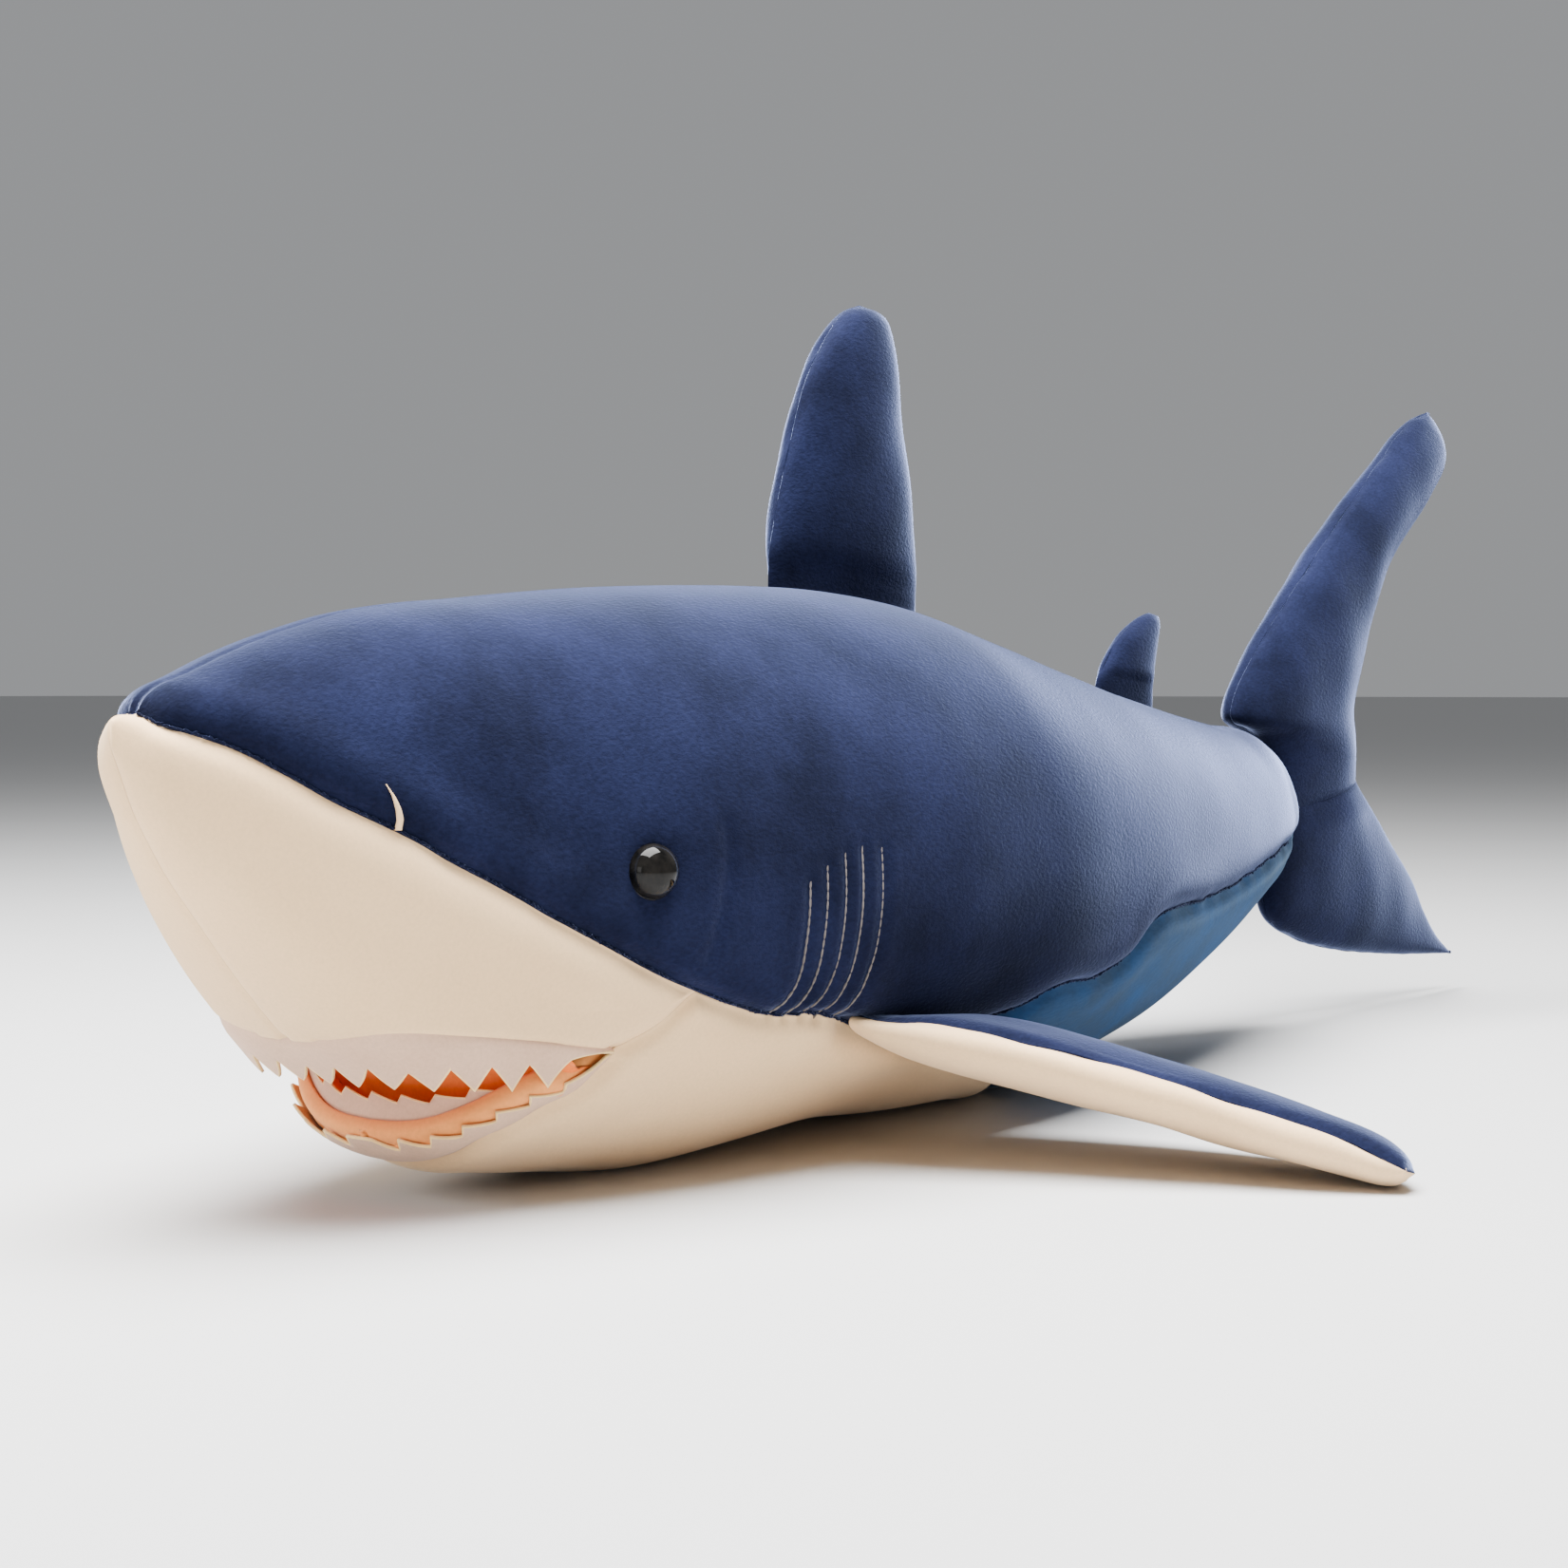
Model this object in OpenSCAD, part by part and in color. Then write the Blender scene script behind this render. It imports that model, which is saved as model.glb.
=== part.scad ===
// Stuffed plush shark: sewn panels over filling, with sewn-on fins that flop and spring back.
// Distances along the body are counted from the nose tip, heights from the floor.

/* [Pattern] */
// Size of the toy against the full pattern
pattern_scale = 1; // [0.5:0.1:1.5]
// Thickness of the body fabric with its pile
fabric_t = 2; // [1:0.5:2.5]
// Thickness of the fin fabric with its pile
fin_fabric_t = 1.5; // [1:0.25:2]

/* [Fins] */
// Height of the dorsal fin above its hinge seam
dorsal_h = 92; // [60:2:120]
// Height of the second dorsal fin above its hinge seam
second_h = 28; // [20:1:40]

/* [Eyes] */
// Diameter of the safety eyes
eye_d = 16; // [12:1:20]
// Diameter of the post behind each eye
eye_post_d = 5; // [4:0.5:6]
// Diameter of the lock washer on each post
eye_washer_d = 20; // [16:1:24]

/* [Mouth] */
// Number of teeth along the upper lip
upper_teeth_n = 14; // [8:2:18]
// Number of teeth along the inner crescent
inner_teeth_n = 7; // [5:2:11]
// Length of one upper tooth
tooth_l = 11; // [6:1:12]

/* [Hidden] */

nose_y = -400.5;          // the origin lies under the middle of the whole toy
skin_gap = 0.6;         // room between a fin's skin and its filling
body_gap = 1.5;         // room between the body's skin and its filling
lining_gap = 3;         // room between the body's skin and the edges of the linings in the mouth
seam_gap = 0.3;         // room between neighbouring panels along a seam
trim_gap = 0.15;        // room between a skin and what is sewn on it
round_power = 2.15;     // 2 is an ellipse, more is squarer
trim_t = 1.2;           // felt and lining
stitch_d = 1.4;         // gill thread
eye_dome_h = 7;

navy = [0.12, 0.2, 0.42];
cream = [0.86, 0.78, 0.66];
sky = [0.3, 0.5, 0.75];
lilac = [0.78, 0.74, 0.74];
orange = [0.9, 0.48, 0.24];
stuffing = [0.95, 0.95, 0.93];

// Body: distance from the nose, half width, top, bottom, height where it is widest
BODY = [
    [0, 0, 136, 130, 133], [4, 9, 139.5, 118, 130], [12, 16.5, 143.5, 103, 125],
    [28, 30, 150.5, 82, 118], [50, 43, 158.5, 57, 107], [62, 48.5, 162, 45, 101],
    [77, 53.5, 165.8, 28, 97], [87, 57.5, 167.5, 17.5, 94], [103, 62, 169.5, 9, 91],
    [120, 67.5, 171, 5, 89], [145, 75, 173.5, 2, 87], [180, 82.5, 176, -1.5, 86],
    [220, 90, 178, 0, 86], [260, 94, 178.5, 2.5, 86], [300, 94, 175.5, 0, 86],
    [350, 89, 165.5, -1.5, 85], [400, 80, 155, 2, 84.5], [450, 68, 145, 11, 85],
    [500, 55, 137, 26, 85.5], [550, 40.5, 131, 45, 86], [585, 28, 126.5, 59, 88],
    [602, 20.5, 118, 69, 90], [611, 12, 107, 78, 91], [614, 3, 96, 86, 91]
];
// How square the lower half of the section is, along the body
LOWER_POWER = [
    [0, 2.4], [30, 2.9], [62, 2.9], [80, 2.4], [110, 2.1], [150, 2], [200, 1.9], [300, 1.85], [614, 2]
];
// Height of the seam between the back and the pale panels, along the body
SIDE_SEAM = [
    [0, 132], [4, 135], [12, 131], [52, 113], [73, 99], [96, 82], [125, 65], [161, 53], [188, 49],
    [211, 42], [250, 36], [300, 41], [318, 45.5], [350, 47], [361, 49], [371, 53], [380, 60],
    [391, 64.5], [418, 66.5], [440, 67], [472, 69], [521, 74], [550, 78], [600, 84], [614, 90]
];
// Lower edge of the face panel: the lip, then the seam up from the mouth corner
LIP = [[0, 0], [60, 0], [61, 44], [126, 43], [131, 44], [148, 55]];
// Upper edge of the chin panel
CHIN = [[79, 25], [90, 27], [103, 30], [122, 35]];

// Front upper edge of the belly panel, under the mouth corner and up to the side seam
THROAT = [[122, 35.5], [126, 39], [131, 42], [148, 54]];

lip_start = 61;
lip_front = 64;         // front middle of the lip, where the teeth start
teeth_back = 119;       // last tooth, just in front of the mouth corner
lip_end = 148;
lip_z = 44;
throat = 122;           // seam between the chin panel and the belly panel
belly_seam = 310;       // seam between the cream and the blue belly
body_end = 613;
jaw_back = 144;
jaw_gap = 3;            // room behind the jaw, where it folds
palate_z = 47;
palate_front = 80;
lip_pad = 9;            // extra room between the filling and the lip at the front
gum_front = [88, 27];   // front and back of the mouth floor, along and up
gum_back = [142, 38];

// ---- helpers ----

// Value of column c at x in rows sorted by column 0, as a smooth curve without overshoot
function slope(P, c, i) = (P[i + 1][c] - P[i][c]) / (P[i + 1][0] - P[i][0]);
function tangent(P, c, i) =
    i == 0 ? slope(P, c, 0) :
    i == len(P) - 1 ? slope(P, c, i - 1) :
    let (a = slope(P, c, i - 1), b = slope(P, c, i),
         h = P[i][0] - P[i - 1][0], k = P[i + 1][0] - P[i][0])
    a * b > 0 ? (a * k + b * h) / (h + k) : 0;
function curve(P, c, x) =
    let (i = max(0, min(len(P) - 2, len([for (r = P) if (r[0] <= x) 1]) - 1)),
         h = P[i + 1][0] - P[i][0], t = max(0, min(1, (x - P[i][0]) / h)))
    P[i][c] * (1 + 2 * t) * pow(1 - t, 2) + tangent(P, c, i) * h * t * pow(1 - t, 2) +
    P[i + 1][c] * t * t * (3 - 2 * t) + tangent(P, c, i + 1) * h * t * t * (t - 1);
function linear(P, x) = lookup(x, P);

// One closed solid through rings that all have the same number of points.
// A shell's ring runs out along one face and back along the other, so its ends are rows of quads
module sweep(rings, shell = false) {
    n = len(rings[0]);
    m = len(rings);
    ends = shell ? [for (i = [0:n / 2 - 2]) [i, i + 1, n - 2 - i, n - 1 - i]] : [[for (j = [0:n - 1]) j]];
    polyhedron(
        points = [for (r = rings) for (p = r) p],
        faces = concat(
            [for (i = [0:m - 2]) for (j = [0:n - 1])
                [i * n + j, i * n + (j + 1) % n, (i + 1) * n + j]],
            [for (i = [0:m - 2]) for (j = [0:n - 1])
                [i * n + (j + 1) % n, (i + 1) * n + (j + 1) % n, (i + 1) * n + j]],
            [for (e = ends) [for (k = [len(e) - 1:-1:0]) e[k]]],
            [for (e = ends) [for (j = e) (m - 1) * n + j]]),
        convexity = 6);
}

module place() scale(pattern_scale) translate([0, nose_y, 0]) children();
module on_right() mirror([1, 0, 0]) children();

// ---- body surface ----

function half_w(s, inset) = let (w = curve(BODY, 1, s)) max(w - inset, 0.3 * w);
function mid_z(s) = curve(BODY, 4, s);
function top_z(s, inset) = let (c = mid_z(s), t = curve(BODY, 2, s)) c + max(t - c - inset, 0.3 * (t - c));
function low_z(s, inset) = let (c = mid_z(s), b = curve(BODY, 3, s)) c - max(c - b - inset, 0.3 * (c - b));
function low_power(s) = curve(LOWER_POWER, 1, s);

// Point on the body at angle a, where 90 is the back, -90 the belly and 0 the left side
function skin(s, a, inset = 0) =
    let (co = cos(a), si = sin(a), e = 2 / (si >= 0 ? round_power : low_power(s)),
         c = mid_z(s), z = si >= 0 ? c + (top_z(s, inset) - c) * pow(si, e)
                                   : c - (c - low_z(s, inset)) * pow(-si, e))
    [half_w(s, inset) * sign(co) * pow(abs(co), e), s, max(z, inset)];
// Angle on the left side at height z
function angle_at(s, z, inset = 0) =
    let (c = mid_z(s), t = top_z(s, inset), b = low_z(s, inset))
    z >= c ? asin(pow(min(1, (z - c) / (t - c)), round_power / 2))
           : -asin(pow(min(1, (c - z) / (c - b)), low_power(s) / 2));
function seam_angle(s) = angle_at(s, curve(SIDE_SEAM, 1, s));

// Cuts along the body: close together at the nose and at the tail
CUTS = concat([for (u = [1:12]) u * u], [for (s = [165:23:560]) s], [572, 585, 596, 605, 610, body_end]);
function cuts(from, to) = concat([from], [for (s = CUTS) if (s > from + 0.5 && s < to - 0.5) s], [to]);

// C-shaped ring of a panel: outside from angle a to b, and back along the inside
function panel_ring(s, a, b, n, t = fabric_t) = concat(
    [for (i = [0:n]) skin(s, a + (b - a) * i / n)],
    [for (i = [n:-1:0]) skin(s, a + (b - a) * i / n, t)]);

// Angle that a gap along the surface takes up
function gap_angle(s, gap) = gap / max(half_w(s, 0), 4) * 180 / PI;

module back_side() {
    n = 11;
    sweep([for (s = cuts(1, body_end))
        panel_ring(s, seam_angle(s) + gap_angle(s, seam_gap), 90 - gap_angle(s, seam_gap) / 2, n)], true);
}
// Panel across the belly, up to the side seam or to a lower edge
module under_panel(from, to, edge = []) {
    n = 14;
    sweep([for (s = cuts(from, to))
        let (seam = seam_angle(s) - gap_angle(s, seam_gap) / 2,
             open = len(edge) > 0 && s <= edge[len(edge) - 1][0],
             a = open ? min(seam, angle_at(s, linear(edge, s))) : seam)
        panel_ring(s, -180 - a, a, n)], true);
}
module eye_frame() {
    // the eye sits on the left side and looks out and a little forward and up
    p = skin(132, angle_at(132, 95));
    translate(p) rotate([0, 0, -20]) rotate([0, 84, 0]) children();
}

// ---- body panels ----

module back_left() color(navy) place() difference() {
    back_side();
    eye_frame() translate([0, 0, -20]) cylinder(d = eye_post_d + 0.2, h = 40, $fn = 32);
}
module back_right() color(navy) place() on_right() difference() {
    back_side();
    eye_frame() translate([0, 0, -20]) cylinder(d = eye_post_d + 0.2, h = 40, $fn = 32);
}
module face_side() {
    n = 12;
    sweep([for (s = cuts(1, lip_end - 3))
        let (middle = -90 + gap_angle(s, seam_gap) / 2,
             low = s <= lip_start + 1 ? middle : max(middle, angle_at(s, linear(LIP, s) + seam_gap)),
             high = seam_angle(s) - gap_angle(s, seam_gap) / 2)
        panel_ring(s, low, high, n)], true);
}
module face_left() color(cream) place() face_side();
module face_right() color(cream) place() on_right() face_side();
module belly_panel() color(cream) place()
    under_panel(throat + seam_gap, belly_seam - seam_gap, THROAT);
module rear_belly_panel() color(sky) place() under_panel(belly_seam + seam_gap, body_end);

module body_filling() color(stuffing) place() difference() {
    inset = fabric_t + body_gap;
    n = 28;
    sweep([for (s = cuts(9, body_end - 8)) [for (i = [0:n - 1]) skin(s, i * 360 / n, inset)]]);
    // the mouth and the jaw
    rotate([90, 0, 90])
        linear_extrude(height = 200, center = true)
            polygon([[40, -5], [40, palate_z + lip_pad], [palate_front + 2, palate_z + lip_pad],
                     [palate_front + 30, palate_z], [jaw_back + jaw_gap, palate_z], [jaw_back + jaw_gap, -5]]);
    for (side = [0, 1]) mirror([side, 0, 0]) eye_frame()
        translate([0, 0, -14]) cylinder(d = eye_washer_d + 1, h = 16, $fn = 48);
}

// ---- mouth ----

// Height of the mouth floor along the body
function gum_z(s) =
    gum_front[1] + (gum_back[1] - gum_front[1]) * (s - gum_front[0]) / (gum_back[0] - gum_front[0]);

module slab(front, back, t, inset, cut_n = 8) {
    // lining that fills the mouth from side to side, between two points along and up
    at = function (s) front[1] + (back[1] - front[1]) * (s - front[0]) / (back[0] - front[0]);
    edge = function (s, z) skin(s, angle_at(s, z), inset)[0];
    sweep([for (i = [0:cut_n])
        let (s = front[0] + (back[0] - front[0]) * i / cut_n, z = at(s), x = edge(s, z))
        [[x, s, z], [x, s, z + t], [-x, s, z + t], [-x, s, z]]]);
}
module palate_lining() color(orange) place() {
    z = palate_z - trim_t - trim_gap;
    slab([palate_front, z], [jaw_back, z], trim_t, fabric_t + lining_gap);
}
module gum_lining() color(orange) place()
    slab(gum_front, gum_back, trim_t, fabric_t + lining_gap);

// Place on the lip for -1 at the right corner to 1 at the left one, and the way inwards from there
function lip_point(u) =
    let (s = lip_front + (teeth_back - lip_front) * u * u, z = lip_z - 0.6)
    [sign(u) * skin(s, angle_at(s, z))[0], s, z];
function lip_inwards(u) =
    let (d = lip_point(min(1, u + 0.02)) - lip_point(max(-1, u - 0.02))) [-d[1], d[0], 0] / norm(d);

// Ribbon of felt that hangs from the lip, cut into pointed teeth that get shorter towards the corners
module upper_teeth() color(lilac) place() {
    steps = 2 * upper_teeth_n;
    tuck = 0.8;         // the ribbon starts this far in from the face panel
    lean = 2.2;         // and its tips lie this much further in, to pass inside the lower jaw
    sweep([for (i = [0:steps])
        let (u = i / steps * 2 - 1, p = lip_point(u), n = lip_inwards(u),
             drop = (i % 2 == 1 ? tooth_l : tooth_l / 2.5) * (1 - 0.45 * pow(abs(u), 3)),
             root = p + tuck * n, tip = p + (tuck + lean) * n - [0, 0, drop])
        [root, tip, tip + trim_t * n, root + trim_t * n]]);
}
module inner_teeth() color(lilac) place() {
    steps = 2 * inner_teeth_n;
    r = 30;
    centre = 118;
    sweep([for (i = [0:steps])
        let (a = -160 + 140 * i / steps, x = r * cos(a), s = centre + r * sin(a),
             base = gum_z(s) + trim_t + 0.5,
             tip = base + (i % 2 == 1 ? 6 : 3),
             k = (r - trim_t) / r)
        [[x, s, base], [x, s, tip], [x * k, centre + r * k * sin(a), tip],
         [x * k, centre + r * k * sin(a), base]]]);
}
module chin_panel() color(lilac) place() {
    n = 18;
    sweep([for (s = [79, 82, 86, 91, 97, 104, 112, throat])
        let (a = angle_at(s, curve(CHIN, 1, s))) panel_ring(s, -180 - a, a, n)], true);
}
module jaw_filling() color(stuffing) place() {
    inset = fabric_t + body_gap;
    n = 16;
    sweep([for (s = [83, 87, 92, 98, 106, 116, 128, jaw_back])
        let (a = angle_at(s, gum_z(s) - trim_gap, inset))
        [for (i = [0:n]) skin(s, -180 - a + (180 + 2 * a) * i / n, inset)]]);
}

// ---- trim on the head ----

module eye() eye_frame() {
    base = 0.6;
    translate([0, 0, base]) difference() {
        r = (pow(eye_d / 2, 2) + pow(eye_dome_h, 2)) / (2 * eye_dome_h);
        translate([0, 0, eye_dome_h - r]) sphere(r = r, $fn = 48);
        translate([0, 0, -2 * r]) cylinder(r = 2 * r, h = 2 * r, $fn = 48);
    }
    translate([0, 0, -12]) cylinder(d = eye_post_d, h = 12 + base + 1, $fn = 32);
}
module eye_left() color("black") place() eye();
module eye_right() color("black") place() on_right() eye();
module eye_washer() eye_frame() translate([0, 0, -7]) difference() {
    cylinder(d = eye_washer_d, h = 1.6, $fn = 48);
    translate([0, 0, -1]) cylinder(d = eye_post_d + 0.1, h = 4, $fn = 32);
}
module eye_washer_left() color("white") place() eye_washer();
module eye_washer_right() color("white") place() on_right() eye_washer();

// Five sewn arcs behind the eye: place along the body and the heights of both ends
GILLS = [[182, 50, 89], [188, 48, 93], [195, 48, 97], [203, 47, 98], [211, 46, 97]];
module gills() {
    steps = 7;
    n = 6;
    bow = 4;
    for (g = GILLS) sweep([for (i = [0:steps])
        let (t = i / steps, z = g[1] + (g[2] - g[1]) * t, s = g[0] - bow * pow(1 - t, 2),
             p = skin(s, angle_at(s, z), -stitch_d / 2 - trim_gap - 0.2))
        [for (j = [0:n - 1]) p + stitch_d / 2 * [cos(j * 360 / n), -sin(j * 360 / n), 0]]]);
}
module gill_stitching_left() color(cream) place() gills();
module gill_stitching_right() color(cream) place() on_right() gills();

module nostril() {
    // a narrow crescent of felt whose lower end touches the side seam
    steps = 6;
    sweep([for (i = [0:steps])
        let (t = i / steps, z = 119 - 9 * t,
             s = 53 + 5 * t - 1.5 * sin(180 * t), w = 0.3 + 1.1 * sin(180 * t),
             o = -trim_gap - trim_t, e = -trim_gap - 0.2)
        [skin(s - w, angle_at(s - w, z), e), skin(s - w, angle_at(s - w, z), o),
         skin(s + w, angle_at(s + w, z), o), skin(s + w, angle_at(s + w, z), e)]]);
}
module nostril_left() color(cream) place() nostril();
module nostril_right() color(cream) place() on_right() nostril();

// ---- fins ----
// A fin is a row of lens-shaped cuts, each [front edge, back edge, thickness], from the root out

function cut_row(S) = [for (i = [0:len(S) - 1]) concat([i], S[i][0], S[i][1], [S[i][2]])];
function fin_at(S, u) = let (P = cut_row(S), v = [for (c = [1:7]) curve(P, c, u)])
    [[v[0], v[1], v[2]], [v[3], v[4], v[5]], v[6]];
function unit(v) = v / norm(v);
function fin_point(cut, up, a, inset) =
    let (half = (cut[0] - cut[1]) / 2, mid = (cut[0] + cut[1]) / 2, l = norm(half),
         thick = cut[2] / 2)
    mid + unit(half) * max(l - inset * 1.5, 0.4 * l) * cos(a) + up * max(thick - inset, 0.3 * thick) * sin(a);
function fin_cuts(S, sub) = [for (i = [0:(len(S) - 1) * sub]) fin_at(S, i / sub)];

// One side of a fin, from angle a to b, up to the tip
module fin_side(S, up, a, b, sub = 2, n = 8, t = fin_fabric_t) {
    sweep([for (c = fin_cuts(S, sub)) concat(
        [for (i = [0:n]) fin_point(c, up, a + (b - a) * i / n, 0)],
        [for (i = [n:-1:0]) fin_point(c, up, a + (b - a) * i / n, t)])], true);
}
module fin_core(S, up, sub = 2, n = 16) {
    inset = fin_fabric_t + skin_gap;
    cuts = fin_cuts(S, sub);
    sweep([for (k = [1:len(cuts) - 2])
        [for (i = [0:n - 1]) fin_point(cuts[k], up, i * 360 / n, inset)]]);
}
edge_a = 1.5;           // the two sides stop this short of the edge, in degrees

// Dorsal fin: place of both edges against height
dorsal_z = 184;         // height of the hinge seam at the front of the fin
function fin_row(z, front, back, drop, t) = [[0, front, z], [0, back, z - drop], t];
function dorsal_cut(f, front, back, drop, t) = fin_row(dorsal_z + dorsal_h * f, front, back, drop, t);
DORSAL = [
    dorsal_cut(-0.03, 268, 350, 12, 3), dorsal_cut(0.01, 268, 351, 12, 8), dorsal_cut(0.1, 270, 349, 9, 24),
    dorsal_cut(0.3, 274, 345, 6, 26), dorsal_cut(0.55, 282, 340, 4, 24), dorsal_cut(0.77, 292, 337, 3, 20),
    dorsal_cut(0.91, 303, 335, 3, 16), dorsal_cut(1, 316, 332, 2.5, 8)
];
module dorsal_left() color(navy) place() fin_side(DORSAL, [1, 0, 0], edge_a, 180 - edge_a);
module dorsal_right() color(navy) place() fin_side(DORSAL, [1, 0, 0], 180 + edge_a, 360 - edge_a);
module dorsal_filling() color(stuffing) place() fin_core(DORSAL, [1, 0, 0]);

second_z = 147;
function second_cut(f, front, back, drop, t) = fin_row(second_z + second_h * f, front, back, drop, t);
SECOND = [
    second_cut(-0.07, 474, 516, 6, 2.5), second_cut(0.03, 474, 516, 6, 6), second_cut(0.3, 480, 517, 4, 12),
    second_cut(0.65, 490, 519, 3, 11), second_cut(0.88, 502, 521, 2, 8), second_cut(1, 513, 521, 1, 5)
];
module second_dorsal_left() color(navy) place()
    fin_side(SECOND, [1, 0, 0], edge_a, 180 - edge_a, 1, 6);
module second_dorsal_right() color(navy) place()
    fin_side(SECOND, [1, 0, 0], 180 + edge_a, 360 - edge_a, 1, 6);
module second_dorsal_filling() color(stuffing) place() fin_core(SECOND, [1, 0, 0], 1, 12);

// Tail fin: one lobe up and one down, meeting behind the end of the body
TAIL_UP = [
    [[0, 620, 93], [0, 695, 103], 20], [[0, 620, 112], [0, 691, 114], 30], [[0, 610, 128], [0, 688, 124], 34],
    [[0, 592, 141], [0, 689, 136], 34], [[0, 602, 158], [0, 694, 152], 34], [[0, 628, 182], [0, 703, 178], 34],
    [[0, 661, 207], [0, 717, 199], 32], [[0, 699, 235], [0, 740, 217], 29], [[0, 730, 257], [0, 759, 231], 26],
    [[0, 750, 269], [0, 775, 242], 22], [[0, 767, 275], [0, 781, 260], 11]
];
TAIL_DOWN = [
    [[0, 620, 92.5], [0, 695, 102.5], 20], [[0, 619, 75], [0, 706, 92], 30], [[0, 616, 58], [0, 722, 80], 28],
    [[0, 619, 44], [0, 742, 65], 24], [[0, 645, 33], [0, 757, 53], 19], [[0, 685, 26], [0, 768, 41], 13],
    [[0, 735, 21], [0, 781, 29], 8], [[0, 790, 17], [0, 800, 18.5], 3]
];
module tail_left() color(navy) place() {
    fin_side(TAIL_UP, [1, 0, 0], edge_a, 180 - edge_a);
    fin_side(TAIL_DOWN, [-1, 0, 0], 180 + edge_a, 360 - edge_a);
}
module tail_right() color(navy) place() {
    fin_side(TAIL_UP, [1, 0, 0], 180 + edge_a, 360 - edge_a);
    fin_side(TAIL_DOWN, [-1, 0, 0], edge_a, 180 - edge_a);
}
module tail_filling() color(stuffing) place() {
    fin_core(TAIL_UP, [1, 0, 0]);
    fin_core(TAIL_DOWN, [-1, 0, 0]);
}

// Side fin: front edge from root to tip, chord at each cut, and thickness
chord_dir = unit([-14, 88, -20]);
fin_up = unit([0.139, 0.249, 0.959]);
function side_cut(p, chord, t) = [p, p + chord * chord_dir, t];
SIDE_FIN = [
    side_cut([82, 212, 44.5], 86, 3), side_cut([85, 213, 44], 87, 8), side_cut([101, 220, 42], 87, 19),
    side_cut([130, 234, 36], 81, 21), side_cut([160, 248, 28], 70, 20), side_cut([186, 260, 20], 56, 17),
    side_cut([207, 270, 13.5], 38, 12), side_cut([222, 278, 7.5], 15, 6)
];
module side_fin_top() fin_side(SIDE_FIN, fin_up, edge_a, 180 - edge_a);
module side_fin_bottom() fin_side(SIDE_FIN, fin_up, 180 + edge_a, 360 - edge_a);
module side_fin_filling() fin_core(SIDE_FIN, fin_up);
module left_fin_top() color(navy) place() side_fin_top();
module left_fin_bottom() color(cream) place() side_fin_bottom();
module left_fin_filling() color(stuffing) place() side_fin_filling();
module right_fin_top() color(navy) place() on_right() side_fin_top();
module right_fin_bottom() color(cream) place() on_right() side_fin_bottom();
module right_fin_filling() color(stuffing) place() on_right() side_fin_filling();

back_left();
back_right();
face_left();
face_right();
belly_panel();
rear_belly_panel();
body_filling();
palate_lining();
upper_teeth();
chin_panel();
gum_lining();
inner_teeth();
jaw_filling();
eye_left();
eye_right();
eye_washer_left();
eye_washer_right();
gill_stitching_left();
gill_stitching_right();
nostril_left();
nostril_right();
dorsal_left();
dorsal_right();
dorsal_filling();
second_dorsal_left();
second_dorsal_right();
second_dorsal_filling();
tail_left();
tail_right();
tail_filling();
left_fin_top();
left_fin_bottom();
left_fin_filling();
right_fin_top();
right_fin_bottom();
right_fin_filling();
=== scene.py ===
import math

import bmesh
import bpy
import numpy as np
from mathutils import Matrix, Vector
from mathutils.bvhtree import BVHTree
from mathutils.geometry import delaunay_2d_cdt
from mathutils.kdtree import KDTree


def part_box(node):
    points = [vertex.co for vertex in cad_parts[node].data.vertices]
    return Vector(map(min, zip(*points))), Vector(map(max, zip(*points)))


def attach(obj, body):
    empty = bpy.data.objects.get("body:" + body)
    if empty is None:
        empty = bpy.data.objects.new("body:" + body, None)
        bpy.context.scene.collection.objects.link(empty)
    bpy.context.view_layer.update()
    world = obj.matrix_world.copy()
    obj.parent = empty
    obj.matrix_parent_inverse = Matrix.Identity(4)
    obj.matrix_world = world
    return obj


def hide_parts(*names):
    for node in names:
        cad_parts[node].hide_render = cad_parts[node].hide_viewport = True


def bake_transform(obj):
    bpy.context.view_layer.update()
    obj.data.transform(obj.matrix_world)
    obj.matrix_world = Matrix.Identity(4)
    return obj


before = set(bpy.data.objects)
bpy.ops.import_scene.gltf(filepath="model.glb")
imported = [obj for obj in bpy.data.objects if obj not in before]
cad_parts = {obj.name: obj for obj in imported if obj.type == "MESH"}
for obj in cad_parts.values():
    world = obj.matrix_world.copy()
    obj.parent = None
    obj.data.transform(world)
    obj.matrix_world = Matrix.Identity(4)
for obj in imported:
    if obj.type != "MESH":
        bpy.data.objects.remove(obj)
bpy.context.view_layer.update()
mm = 0.001
twoSides = (("left", 1), ("right", -1))

# the nose tip in the frame; the first cut of the pale face panel is 1 mm behind it
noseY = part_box("face_left")[0][1] - 1 * mm


def addObject(name, data):
    thing = bpy.data.objects.new(name, data)
    bpy.context.collection.objects.link(thing)
    return thing


# the camera stands in front and to the left, low over the floor; places are from the nose tip
cameraSet = {"azimuth": 38.0, "elevation": 2.0, "lens": 63.23, "distance": 0.698,
             "across": -0.2442, "up": 0.0206, "noseZ": 0.135, "sensor": 36, "near": 0.01, "far": 50}


def addCamera():
    azimuth, elevation = math.radians(cameraSet["azimuth"]), math.radians(cameraSet["elevation"])
    forward = Vector((-math.sin(azimuth) * math.cos(elevation), math.cos(azimuth) * math.cos(elevation),
                      -math.sin(elevation)))
    right = Vector((math.cos(azimuth), math.sin(azimuth), 0))
    aim = forward + cameraSet["across"] * right + cameraSet["up"] * right.cross(forward)
    data = bpy.data.cameras.new("camera")
    data.lens, data.sensor_width, data.sensor_fit = cameraSet["lens"], cameraSet["sensor"], "HORIZONTAL"
    data.clip_start, data.clip_end = cameraSet["near"], cameraSet["far"]
    camera = addObject("camera", data)
    camera.location = Vector((0, noseY, cameraSet["noseZ"])) - cameraSet["distance"] * aim
    camera.rotation_euler = forward.to_track_quat("-Z", "Y").to_euler()
    bpy.context.scene.camera = camera


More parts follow.
